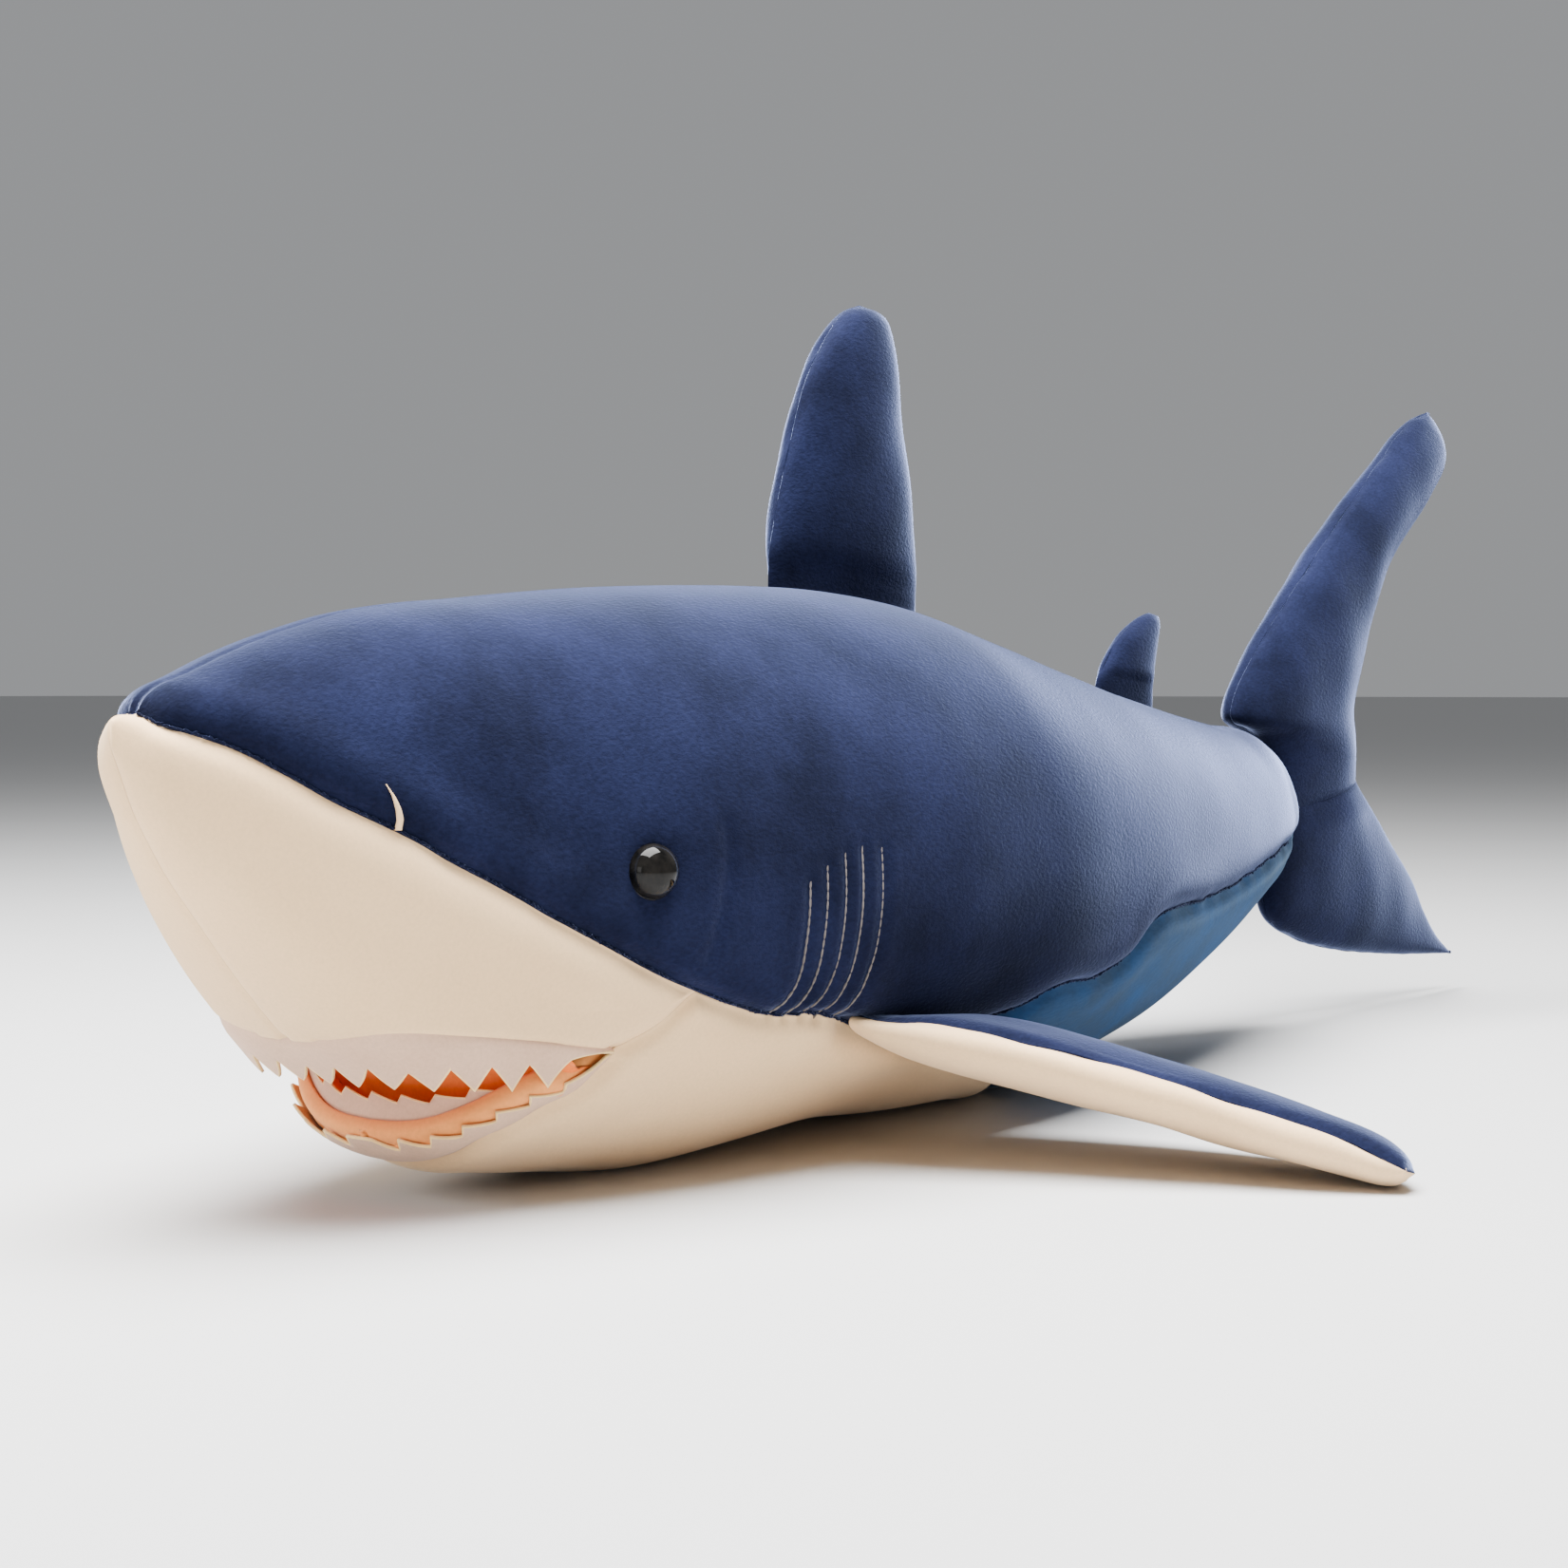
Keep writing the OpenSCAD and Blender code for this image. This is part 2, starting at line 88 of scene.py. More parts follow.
addCamera()
print("camera placed")

# the body in mm: s runs back from the nose tip, z up from the floor, x to the shark's left
bodyShape = {
    # s, half width, top, bottom, height where it is widest
    "stations": [
        (0, 0, 136, 130, 133), (4, 9, 139.5, 118, 130), (12, 16.5, 143.5, 103, 125),
        (28, 30, 150.5, 82, 118), (50, 43, 158.5, 57, 107), (62, 48.5, 162, 45, 101),
        (77, 53.5, 165.8, 28, 97), (87, 57.5, 167.5, 17.5, 94), (103, 62, 169.5, 9, 91),
        (120, 67.5, 171, 5, 89), (145, 75, 173.5, 2, 87), (180, 82.5, 176, -1.5, 86),
        (220, 90, 178, 0, 86), (260, 94, 178.5, 2.5, 86), (300, 94, 175.5, 0, 86),
        (350, 89, 165.5, -1.5, 85), (400, 80, 155, 2, 84.5), (450, 68, 145, 11, 85),
        (500, 55, 137, 26, 85.5), (550, 40.5, 131, 45, 86), (585, 28, 126.5, 59, 88),
        (602, 20.5, 118, 69, 90), (611, 12, 107, 78, 91), (614, 3, 96, 86, 91)],
    "topPower": 2.15,
    "lowPower": [(0, 2.4), (30, 2.9), (62, 2.9), (80, 2.4), (110, 2.1), (150, 2), (200, 1.9), (300, 1.85),
                 (614, 2)],
    "end": 613.0,
    # the first and last s with a normal, and the line inside the body that faces turn away from
    "first": 0.05, "last": 613.95, "innerFrom": 40, "innerTo": 560, "innerHeight": 88,
}
seams = {
    # where panels meet on the left side, as (s, z); the back seam starts at the apex
    "apex": 5.3,
    "side": [(5.3, 140), (6, 138), (8, 136), (12, 134), (20, 130), (30, 123), (42, 115), (56, 107.5),
             (71, 99), (92, 87), (115, 74.5), (134, 64.5), (155, 56), (180, 49), (195, 48), (207, 45),
             (214, 42), (250, 36), (300, 41), (318, 45.5), (350, 47), (361, 49), (371, 53), (380, 60),
             (391, 64.5), (418, 66.5), (440, 67), (472, 69), (521, 74), (550, 78), (600, 84), (614, 90)],
    "lip": [(57.5, 50), (60, 51.5), (64, 52.3), (79, 50.9), (106, 47.5), (120, 45.5), (126, 43.5)],
    "corner": [(126, 43.5), (131, 46), (148, 58.6)],
    # the cream belly reaches further back in the middle than at the sides
    "belly": 292.0, "bellyBack": 84.0,
    # the rim and the seam of the chin panel, as (s, angle), from the corner down to the middle
    "rim": [(126, -33), (115, -39.5), (104.5, -44), (97.5, -50.5), (92.7, -58.5), (89.3, -67.5), (87, -79),
            (86.3, -90)],
    "chin": [(126, -34), (121, -41.5), (113, -47.5), (106.5, -54), (102.5, -62), (101.3, -70), (101.3, -80),
             (101.5, -90)],
}
cornerStart, cornerEnd = seams["corner"][0][0], seams["corner"][-1][0]


def curve(knots, x):
    # smooth curve through the knots that never overshoots them
    knots = np.array(knots, float)
    kx, ky = knots[:, 0], knots[:, 1]
    x = np.asarray(x, float)
    slope = np.diff(ky) / np.diff(kx)
    tangent = np.zeros(len(kx))
    tangent[0], tangent[-1] = slope[0], slope[-1]
    for i in range(1, len(kx) - 1):
        a, b, h, k = slope[i - 1], slope[i], kx[i] - kx[i - 1], kx[i + 1] - kx[i]
        tangent[i] = (a * k + b * h) / (h + k) if a * b > 0 else 0
    i = np.clip(np.searchsorted(kx, x, side="right") - 1, 0, len(kx) - 2)
    h = kx[i + 1] - kx[i]
    t = np.clip((x - kx[i]) / h, 0, 1)
    return (ky[i] * (1 + 2 * t) * (1 - t) ** 2 + tangent[i] * h * t * (1 - t) ** 2
            + ky[i + 1] * t * t * (3 - 2 * t) + tangent[i + 1] * h * t * t * (t - 1))


def unit(vectors):
    return vectors / np.maximum(np.linalg.norm(vectors, axis=-1, keepdims=True), 1e-12)


def profile(s):
    # half width, top, bottom and widest height at s
    rows = np.array(bodyShape["stations"])
    return [curve(rows[:, (0, k)], s) for k in (1, 2, 3, 4)]


def lowPower(s):
    return curve(bodyShape["lowPower"], s)


def skin(s, angle, inset=0.0):
    # point on the body: angle 90 is the back, -90 the belly and 0 the left side
    s, angle = np.broadcast_arrays(np.asarray(s, float), np.asarray(angle, float))
    w, t, b, c = profile(s)
    w = np.maximum(w - inset, 0.3 * w)
    up, down = np.maximum(t - c - inset, 0.3 * (t - c)), np.maximum(c - b - inset, 0.3 * (c - b))
    co, si = np.cos(np.radians(angle)), np.sin(np.radians(angle))
    e = 2 / np.where(si >= 0, bodyShape["topPower"], lowPower(s))
    z = np.where(si >= 0, c + up * np.abs(si) ** e, c - down * np.abs(si) ** e)
    x = w * np.sign(co) * np.abs(co) ** e
    return np.stack([x, s, np.maximum(z, inset)], -1)


def angleAt(s, z):
    # angle on the left side at height z
    s, z = np.broadcast_arrays(np.asarray(s, float), np.asarray(z, float))
    _, t, b, c = profile(s)
    above = np.degrees(np.arcsin(np.clip((z - c) / (t - c), 0, 1) ** (bodyShape["topPower"] / 2)))
    below = -np.degrees(np.arcsin(np.clip((c - z) / (c - b), 0, 1) ** (lowPower(s) / 2)))
    return np.where(z >= c, above, below)


def onSide(s, z):
    return skin(s, angleAt(s, z))


def angleOf(points):
    # the angle of points that lie on the body
    x, s, z = np.moveaxis(np.asarray(points, float), -1, 0)
    w, t, b, c = profile(s)
    power = np.where(z >= c, bodyShape["topPower"], lowPower(s)) / 2
    reach = np.where(z >= c, t - c, c - b)
    si = np.sign(z - c) * (np.abs(z - c) / np.maximum(reach, 1e-6)) ** power
    co = np.sign(x) * (np.abs(x) / np.maximum(w, 1e-6)) ** power
    return np.degrees(np.arctan2(si, co))


def skinNormal(s, angle):
    s, angle = np.broadcast_arrays(np.asarray(s, float), np.asarray(angle, float))
    after, before = np.minimum(s + 0.5, bodyShape["last"]), np.maximum(s - 0.5, bodyShape["first"])
    ahead = skin(after, angle) - skin(before, angle)
    n = unit(np.cross(ahead, skin(s, angle + 0.5) - skin(s, angle - 0.5)))
    inner = np.clip(s, bodyShape["innerFrom"], bodyShape["innerTo"])
    out = skin(s, angle) - np.stack([0 * s, inner, 0 * s + bodyShape["innerHeight"]], -1)
    return n * np.where((n * out).sum(-1, keepdims=True) < 0, -1, 1)


def seamAngle(s):
    return np.where(np.asarray(s) <= seams["apex"], 90.0, angleAt(s, curve(seams["side"], s)))


def toFrame(points):
    # pattern millimetres to frame metres
    points = np.asarray(points, float) * mm
    points[..., 1] += noseY
    return points


def resample(points, count=None, share=None):
    # the same line with evenly spaced points, or with points at the given shares of its length
    points = np.asarray(points, float)
    run = np.concatenate([[0], np.cumsum(np.linalg.norm(np.diff(points, axis=0), axis=1))])
    share = np.linspace(0, 1, count) if share is None else share
    return np.stack([np.interp(share * run[-1], run, points[:, k]) for k in range(points.shape[1])], -1)


def lengthOf(points):
    return float(np.linalg.norm(np.diff(np.asarray(points, float), axis=0), axis=1).sum())


def alongRow(row, share):
    # the row's values at the given shares of its number of points
    return np.stack([np.interp(share, np.linspace(0, 1, len(row)), column) for column in row.T], -1)


def eased(count, ends=0.75):
    # shares from 0 to 1 that crowd towards both ends
    t = np.linspace(0, 1, count)
    return t * (1 - ends) + (0.5 - 0.5 * np.cos(np.pi * t)) * ends


def roundAngles(count):
    return np.linspace(-180, 180, count + 1)[None, :-1]


def gridFaces(rows, cols, closed=False):
    i, j = np.meshgrid(np.arange(rows - 1), np.arange(cols if closed else cols - 1), indexing="ij")
    k = (j + 1) % cols
    return np.stack([i * cols + j, i * cols + k, (i + 1) * cols + k, (i + 1) * cols + j], -1).reshape(-1, 4)


def tubeFaces(rows, cols):
    # a closed tube with a fan of triangles over each end, for rows x cols points and two end points
    caps = [(rows * cols, (j + 1) % cols, j) for j in range(cols)]
    last = (rows - 1) * cols
    caps += [(rows * cols + 1, last + j, last + (j + 1) % cols) for j in range(cols)]
    return gridFaces(rows, cols, True).tolist() + caps


def smoothFaces(mesh):
    mesh.polygons.foreach_set("use_smooth", [True] * len(mesh.polygons))


def makeMesh(name, points, faces):
    mesh = bpy.data.meshes.new(name)
    points = [tuple(p) for p in np.asarray(points).reshape(-1, 3)]
    mesh.from_pydata(points, [], [tuple(int(v) for v in face) for face in faces])
    work = bmesh.new()
    work.from_mesh(mesh)
    bmesh.ops.remove_doubles(work, verts=work.verts, dist=2e-5)
    bmesh.ops.dissolve_degenerate(work, dist=1e-6, edges=work.edges)
    work.to_mesh(mesh)
    work.free()
    smoothFaces(mesh)
    return addObject(name, mesh)


def applyModifiers(thing):
    graph = bpy.context.evaluated_depsgraph_get()
    done = bpy.data.meshes.new_from_object(thing.evaluated_get(graph))
    done.name = thing.name
    thing.modifiers.clear()
    thing.data = done
    smoothFaces(done)


def closeShell(thing):
    # points the faces of a closed mesh outwards
    work = bmesh.new()
    work.from_mesh(thing.data)
    bmesh.ops.recalc_face_normals(work, faces=work.faces)
    work.to_mesh(thing.data)
    work.free()


def closedTube(name, grid):
    # rows of closed rings, with both ends drawn to a point
    points = np.concatenate([grid.reshape(-1, 3), grid[0].mean(0)[None], grid[-1].mean(0)[None]])
    thing = makeMesh(name, toFrame(points), tubeFaces(*grid.shape[:2]))
    closeShell(thing)
    return thing


def thicken(thing, thickness, rim=0):
    # gives a panel its fabric's thickness, on the side that its faces turn away from
    solid = thing.modifiers.new("thickness", "SOLIDIFY")
    solid.thickness, solid.offset = thickness, -1
    solid.use_even_offset = False
    solid.material_offset_rim = rim
    applyModifiers(thing)


def turnFaces(thing, outward):
    # turns each loose part so that most of it faces the way outward(centre) gives
    work = bmesh.new()
    work.from_mesh(thing.data)
    seen = set()
    for first in work.faces:
        if first in seen:
            continue
        island, stack = [], [first]
        seen.add(first)
        while stack:
            face = stack.pop()
            island.append(face)
            for edge in face.edges:
                for other in edge.link_faces:
                    if other not in seen:
                        seen.add(other)
                        stack.append(other)
        total = sum(f.normal.dot(Vector(outward(f.calc_center_median()))) * f.calc_area() for f in island)
        if total < 0:
            bmesh.ops.reverse_faces(work, faces=island)
    work.to_mesh(thing.data)
    work.free()


def fromMiddle(c):
    # outwards from the line inside the body, in frame metres
    s = (c[1] - noseY) / mm
    inner = min(max(s, bodyShape["innerFrom"]), bodyShape["innerTo"]) * mm
    return (c[0], c[1] - noseY - inner, c[2] - bodyShape["innerHeight"] * mm)


def treeOf(points):
    tree = KDTree(len(points))
    for i, p in enumerate(points):
        tree.insert(p, i)
    tree.balance()
    return tree


def distanceTo(lines, points):
    # distance from every point to the nearest of some dense lines
    tree = treeOf(np.concatenate([np.asarray(line).reshape(-1, 3) for line in lines]))
    return np.array([tree.find(p)[2] for p in points.reshape(-1, 3)]).reshape(points.shape[:-1])


def waves(points, scale, seed):
    # a smooth wandering value between about -1 and 1, the same on every run
    rng = np.random.default_rng(seed)
    total = np.zeros(points.shape[:-1])
    for _ in range(7):
        way = rng.normal(size=3)
        way /= np.linalg.norm(way)
        total += np.sin(points @ way / scale * rng.uniform(0.7, 1.4) + rng.uniform(0, 2 * np.pi))
    return total / 3.2


def mirrored(points):
    return np.asarray(points) * np.array([-1, 1, 1])


print("helpers ready")

velvets = {
    "navy_velvet": {
        "base": (0.0115, 0.0145, 0.043), "deep": (0.005, 0.0065, 0.019), "sheen": (0.46, 0.56, 0.95),
        "sheenWeight": 1.0, "sheenRough": 0.29, "grain": 1000, "bump": 0.4, "patch": 24, "streak": 0.55,
        "speck": 0.5},
    "cream_velvet": {
        "base": (0.84, 0.57, 0.315), "deep": (0.80, 0.535, 0.29), "sheen": (1.0, 0.93, 0.82),
        "sheenWeight": 0.25, "sheenRough": 0.5, "grain": 900, "bump": 0.10, "patch": 14, "streak": 1.0,
        "speck": 0.9},
    "sky_velvet": {
        "base": (0.014, 0.058, 0.16), "deep": (0.024, 0.046, 0.09), "sheen": (0.6, 0.8, 1.0),
        "sheenWeight": 0.2, "sheenRough": 0.4, "grain": 800, "bump": 0.3, "patch": 34, "streak": 0.3,
        "speck": 0.7},
}
felts = {
    # base colour, deep colour, grain, bump, roughness
    # the teeth are pale felt; this colour, darker and greyer than the cream face, is painted shade where
    # they face down into the mouth
    "lilac_felt": ((0.66, 0.43, 0.295), (0.61, 0.39, 0.265), 900, 0.12, 0.85),
    "gum_lining": ((0.86, 0.33, 0.085), (0.82, 0.29, 0.07), 800, 0.08, 0.9),
    # the roof and floor get a deeper, darker orange than the gum: painted shade of the inside of the mouth
    # on the same orange lining
    "shaded_pocket_lining": ((0.90, 0.21, 0.03), (0.80, 0.16, 0.02), 800, 0.10, 0.9),
    "gill_thread": ((0.17, 0.145, 0.13), (0.12, 0.10, 0.09), 1500, 0.3, 0.6),
    "tooth_edge": ((0.92, 0.66, 0.30), (0.85, 0.58, 0.24), 1200, 0.1, 0.7),
    "fibre_fill": ((0.85, 0.85, 0.83), (0.7, 0.7, 0.69), 300, 0.8, 0.95),
}
grainDepth = 0.6 * mm


def newMaterial(name):
    material = bpy.data.materials.new(name)
    material.use_nodes = True
    nodes = material.node_tree.nodes
    return material, nodes, material.node_tree.links, nodes["Principled BSDF"]


def setInputs(node, values):
    for label, value in values.items():
        node.inputs[label].default_value = value


def noiseNode(nodes, links, coords, scale, detail=3.0, rough=0.55, streak=1.0):
    # a noise in the piece's own coordinates, drawn out along the nap where streak is under 1
    noise = nodes.new("ShaderNodeTexNoise")
    setInputs(noise, {"Scale": scale, "Detail": detail, "Roughness": rough})
    lay = nodes.new("ShaderNodeMapping")
    setInputs(lay, {"Rotation": (math.radians(-24), 0, 0), "Scale": (1, streak, 1)})
    links.new(coords.outputs["Object"], lay.inputs["Vector"])
    links.new(lay.outputs["Vector"], noise.inputs["Vector"])
    return noise


def rampNode(nodes, links, source, low, high, colours):
    ramp = nodes.new("ShaderNodeValToRGB")
    for stop, position, colour in zip(ramp.color_ramp.elements, (low, high), colours):
        stop.position, stop.color = position, (*colour, 1)
    links.new(source, ramp.inputs["Fac"])
    return ramp


def mixNode(nodes, links, kind, factor, a, b):
    mix = nodes.new("ShaderNodeMix")
    mix.data_type, mix.blend_type = "RGBA", kind
    mix.inputs[0].default_value = factor
    links.new(a, mix.inputs[6])
    links.new(b, mix.inputs[7])
    return mix


def addBump(nodes, links, surface, height, strength, distance):
    bump = nodes.new("ShaderNodeBump")
    setInputs(bump, {"Strength": strength, "Distance": distance})
    links.new(height, bump.inputs["Height"])
    links.new(bump.outputs["Normal"], surface.inputs["Normal"])


def makeVelvet(name, look):
    material, nodes, links, surface = newMaterial(name)
    coords = nodes.new("ShaderNodeTexCoord")
    grain = noiseNode(nodes, links, coords, look["grain"], 2.5, 0.6, look["streak"])
    patch = noiseNode(nodes, links, coords, look["patch"], 4.0, 0.62)
    # the nap lies one way in some places and the other way in others
    nap = rampNode(nodes, links, patch.outputs["Fac"], 0.34, 0.66, (look["deep"], look["base"]))
    speck = rampNode(nodes, links, grain.outputs["Fac"], 0.30, 0.72, ((look["speck"],) * 3, (1.0, 1.0, 1.0)))
    colour = mixNode(nodes, links, "MULTIPLY", 0.75, nap.outputs["Color"], speck.outputs["Color"])
    links.new(colour.outputs[2], surface.inputs["Base Color"])
    addBump(nodes, links, surface, grain.outputs["Fac"], look["bump"], grainDepth)
    setInputs(surface, {"Roughness": 0.92, "Specular IOR Level": 0.03, "Sheen Weight": look["sheenWeight"],
                        "Sheen Roughness": look["sheenRough"], "Sheen Tint": (*look["sheen"], 1)})
    return material


def makeFelt(name, base, deep, grainScale, bump, rough):
    material, nodes, links, surface = newMaterial(name)
    coords = nodes.new("ShaderNodeTexCoord")
    grain = noiseNode(nodes, links, coords, grainScale, 3.0, 0.6)
    patch = noiseNode(nodes, links, coords, 60, 2.0, 0.5)
    tone = rampNode(nodes, links, patch.outputs["Fac"], 0.3, 0.7, (deep, base))
    speck = rampNode(nodes, links, grain.outputs["Fac"], 0.3, 0.7, ((0.86, 0.86, 0.86), (1, 1, 1)))
    colour = mixNode(nodes, links, "MULTIPLY", 0.8, tone.outputs["Color"], speck.outputs["Color"])
    links.new(colour.outputs[2], surface.inputs["Base Color"])
    addBump(nodes, links, surface, grain.outputs["Fac"], bump, grainDepth)
    setInputs(surface, {"Roughness": rough, "Specular IOR Level": 0.2, "Sheen Weight": 0.15})
    return material


def makePlastic(name, tones, rough, coat):
    material, nodes, links, surface = newMaterial(name)
    coords = nodes.new("ShaderNodeTexCoord")
    haze = noiseNode(nodes, links, coords, 260, 2.0)
    tone = rampNode(nodes, links, haze.outputs["Fac"], 0.3, 0.7, tones)
    links.new(tone.outputs["Color"], surface.inputs["Base Color"])
    addBump(nodes, links, surface, haze.outputs["Fac"], 0.02, 0.3 * mm)
    setInputs(surface, {"Roughness": rough, "Coat Weight": coat, "Specular IOR Level": 0.14,
                        "Coat Roughness": 0.04})
    return material


materials = {name: makeVelvet(name, look) for name, look in velvets.items()}
materials.update({name: makeFelt(name, *look) for name, look in felts.items()})
for plastic in (("eye_black", ((0.002, 0.002, 0.002), (0.010, 0.009, 0.008)), 0.05, 0.0),
                ("washer_white", ((0.72, 0.72, 0.70), (0.8, 0.8, 0.78)), 0.4, 0.1)):
    materials[plastic[0]] = makePlastic(*plastic)
print("materials made")


def finishPiece(thing, names, body, replaces=(), bend=None):
    if isinstance(names, str):
        thing.data.materials.clear()
        thing.data.materials.append(materials[names])
    if replaces:
        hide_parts(*replaces)
    if bend:
        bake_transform(thing)
    else:
        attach(thing, body)
    return thing


def bendAt(body, start, end, mirror=False):
    # the two places where a skin would pass from the torso to the body; the skins are not bent by them here
    k = np.array([-1, 1, 1]) if mirror else np.array([1, 1, 1])
    start, end = (toFrame(np.array(place, float) * k) for place in (start, end))
    return {"from": "torso", "to": body, "start": start, "end": end}


def sideSeamLine(count, sTo=bodyShape["end"]):
    s = seams["apex"] + (sTo - seams["apex"]) * np.linspace(0, 1, count) ** 1.6
    return skin(s, seamAngle(s))


def backLine():
    return skin(np.linspace(seams["apex"], bodyShape["end"], 400), 90)


def centreLine():
    # from the apex on top of the nose, round the tip and down to the middle of the lip
    top = skin(seams["apex"] * np.linspace(1, 0, 12) ** 1.5, 90)
    low = skin(seams["lip"][0][0] * np.linspace(0, 1, 160) ** 1.6, -90)
    return np.concatenate([top, low[1:]])


def lipLine(count=200):
    first, last = seams["lip"][0][0], seams["lip"][-1][0]
    s = first + (last - first) * np.linspace(0, 1, count) ** 2.4
    points = onSide(s, curve(seams["lip"], s))
    points[0, 0] = 0
    return points


def cornerLine():
    s = np.linspace(cornerStart, cornerEnd, 60)
    return onSide(s, curve(seams["corner"], s))


def edgeRow(name, count=160):
    # rounded (s, angle) along the chin's rim or seam, from the middle to the left corner
    row = alongRow(np.array(seams[name][::-1]), np.linspace(0, 1, count))
    points = resample(skin(row[:, 0], row[:, 1]), count)
    for _ in range(12):
        points[1:-1] = (points[:-2] + 2 * points[1:-1] + points[2:]) / 4
    return np.stack([points[:, 1], angleOf(points)], -1)


rimRow, chinRow = edgeRow("rim"), edgeRow("chin")
rimRow[0, 1] = chinRow[0, 1] = -90
chinLine = skin(chinRow[:, 0], chinRow[:, 1])

gillSet = {
    # s, lowest and highest z of each arc, and how far its low end bows forward below a share of it
    "arcs": [(183.5, 50, 88.6), (190, 48.5, 93.2), (197, 48, 96.7), (203.7, 46.5, 98), (211.5, 46, 97.7)],
    "bow": 6.0, "start": 0.42, "depth": 1.3, "spread": 1.7}
# the crease behind the eye, and the dip where a side fin is sewn on, as (s, z)
dartSet = {"path": [(148.4, 69), (151.1, 78), (152.6, 86), (153.8, 95), (154.1, 106.5)],
           "depth": 1.1, "spread": 2.0}
finRootSet = {"path": [(213, 43), (240, 37.5), (270, 31), (297, 25)], "depth": 3.5, "spread": 6.0}
eyeSet = {"s": 129.0, "z": 94.6, "dimple": 1.6, "reach": 8.5}
seamSet = {"depth": 2.4, "spread": 3.2, "puff": 1.0, "puffAt": 10.0, "puffSpread": 7.0, "pucker": 0.26}


def gillLines():
    # each arc is straight above and bows forward to its lower end
    lines = []
    for s0, low, high in gillSet["arcs"]:
        t = np.linspace(0, 1, 70)
        s = s0 - gillSet["bow"] * np.clip(1 - t / gillSet["start"], 0, 1) ** 2
        lines.append(onSide(s, low + (high - low) * t))
    return lines


def pathOnSkin(path, count=60):
    path = np.array(path, float)
    even = np.linspace(path[0, 0], path[-1, 0], count)
    return onSide(even, np.interp(even, path[:, 0], path[:, 1]))


def bothSides(lines):
    return list(lines) + [mirrored(line) for line in lines]


def crossRow(share):
    # (s, angle) of the seam across the belly, from the right side to the left
    high = float(seamAngle(seams["belly"]))
    s = seams["belly"] + seams["bellyBack"] * (1 - (2 * share - 1) ** 2) ** 1.3
    return np.stack([s, -180 - high + (180 + 2 * high) * share], -1)


bellyCross = skin(*crossRow(np.linspace(0, 1, 300)).T)
sewnLines = bothSides([sideSeamLine(700), cornerLine(), chinLine]) + [bellyCross]
eyeSpot = onSide(eyeSet["s"], eyeSet["z"])
grooves = [
    # lines, depth, spread
    (bothSides(gillLines()), gillSet["depth"], gillSet["spread"]),
    (bothSides([pathOnSkin(dartSet["path"])]), dartSet["depth"], dartSet["spread"]),
    (bothSides([pathOnSkin(finRootSet["path"])]), finRootSet["depth"], finRootSet["spread"]),
    (bothSides([lipLine()]), 0.7, 1.6),
    ([centreLine()[12:]], 0.5, 2.0),
    ([backLine()], 0.55, 1.6),
    (bothSides([eyeSpot[None, :]]), eyeSet["dimple"], eyeSet["reach"]),
]
clothSet = {"voxel": 6.5 * mm, "pressure": 4.0, "frames": 20, "held": 7.0, "cap": 3.0, "share": 0.6,
            "from": 2, "to": 611, "rows": 110, "cols": 72, "quality": 6, "mass": 0.3, "tension": 15,
            "bending": 2.0, "blend": 6.0, "neighbours": 9}


def vertexPlaces(mesh):
    places = np.empty(len(mesh.vertices) * 3)
    mesh.vertices.foreach_get("co", places)
    return places.reshape(-1, 3)


def stuffCloth():
    # blows up a coarse shell that is held along its seams, and keeps how far it bulges
    scene = bpy.context.scene
    s = np.linspace(clothSet["from"], clothSet["to"], clothSet["rows"])[:, None]
    shell = closedTube("cloth shell", skin(s, roundAngles(clothSet["cols"])))
    coarse = shell.modifiers.new("even", "REMESH")
    coarse.mode, coarse.voxel_size = "VOXEL", clothSet["voxel"]
    applyModifiers(shell)
    start = vertexPlaces(shell.data)
    normals = np.array([tuple(v.normal) for v in shell.data.vertices])
    pattern = (start - [0, noseY, 0]) / mm
    near = distanceTo(sewnLines + [backLine()], pattern)
    group = shell.vertex_groups.new(name="held")
    for i, d in enumerate(near):
        group.add([i], float(np.clip(1.6 - d / clothSet["held"], 0, 1)), "REPLACE")
    cloth = shell.modifiers.new("cloth", "CLOTH")
    cloth.settings.quality, cloth.settings.mass = clothSet["quality"], clothSet["mass"]
    cloth.settings.tension_stiffness = cloth.settings.compression_stiffness = clothSet["tension"]
    cloth.settings.bending_stiffness = clothSet["bending"]
    cloth.settings.vertex_group_mass = "held"
    cloth.settings.use_pressure, cloth.settings.uniform_pressure_force = True, clothSet["pressure"]
    cloth.settings.effector_weights.gravity = 0
    cloth.collision_settings.use_collision = cloth.collision_settings.use_self_collision = False
    for number in range(1, clothSet["frames"] + 1):
        scene.frame_set(number)
    done = shell.evaluated_get(bpy.context.evaluated_depsgraph_get()).to_mesh()
    bulge = ((vertexPlaces(done) - start) * normals).sum(-1) / mm
    scene.frame_set(1)
    mesh = shell.data
    bpy.data.objects.remove(shell)
    bpy.data.meshes.remove(mesh)
    bulge = np.nan_to_num(bulge)
    print("cloth shell:", len(bulge), "points, bulge", np.percentile(bulge, [1, 50, 99]).round(2))
    bulge = np.clip((bulge - bulge.mean()) * clothSet["share"], -clothSet["cap"], clothSet["cap"])
    return treeOf(pattern), bulge


clothBulge = stuffCloth()


def clothAt(points):
    # the bulge of the nearest parts of the cloth shell, blended smoothly
    if clothBulge is None:
        return np.zeros(points.shape[:-1])
    tree, bulge = clothBulge
    out = []
    for p in points.reshape(-1, 3):
        found = tree.find_n(p, clothSet["neighbours"])
        weights = np.array([math.exp(-(f[2] / clothSet["blend"]) ** 2) + 1e-9 for f in found])
        out.append(float((weights * bulge[[f[1] for f in found]]).sum() / weights.sum()))
    return np.array(out).reshape(points.shape[:-1])


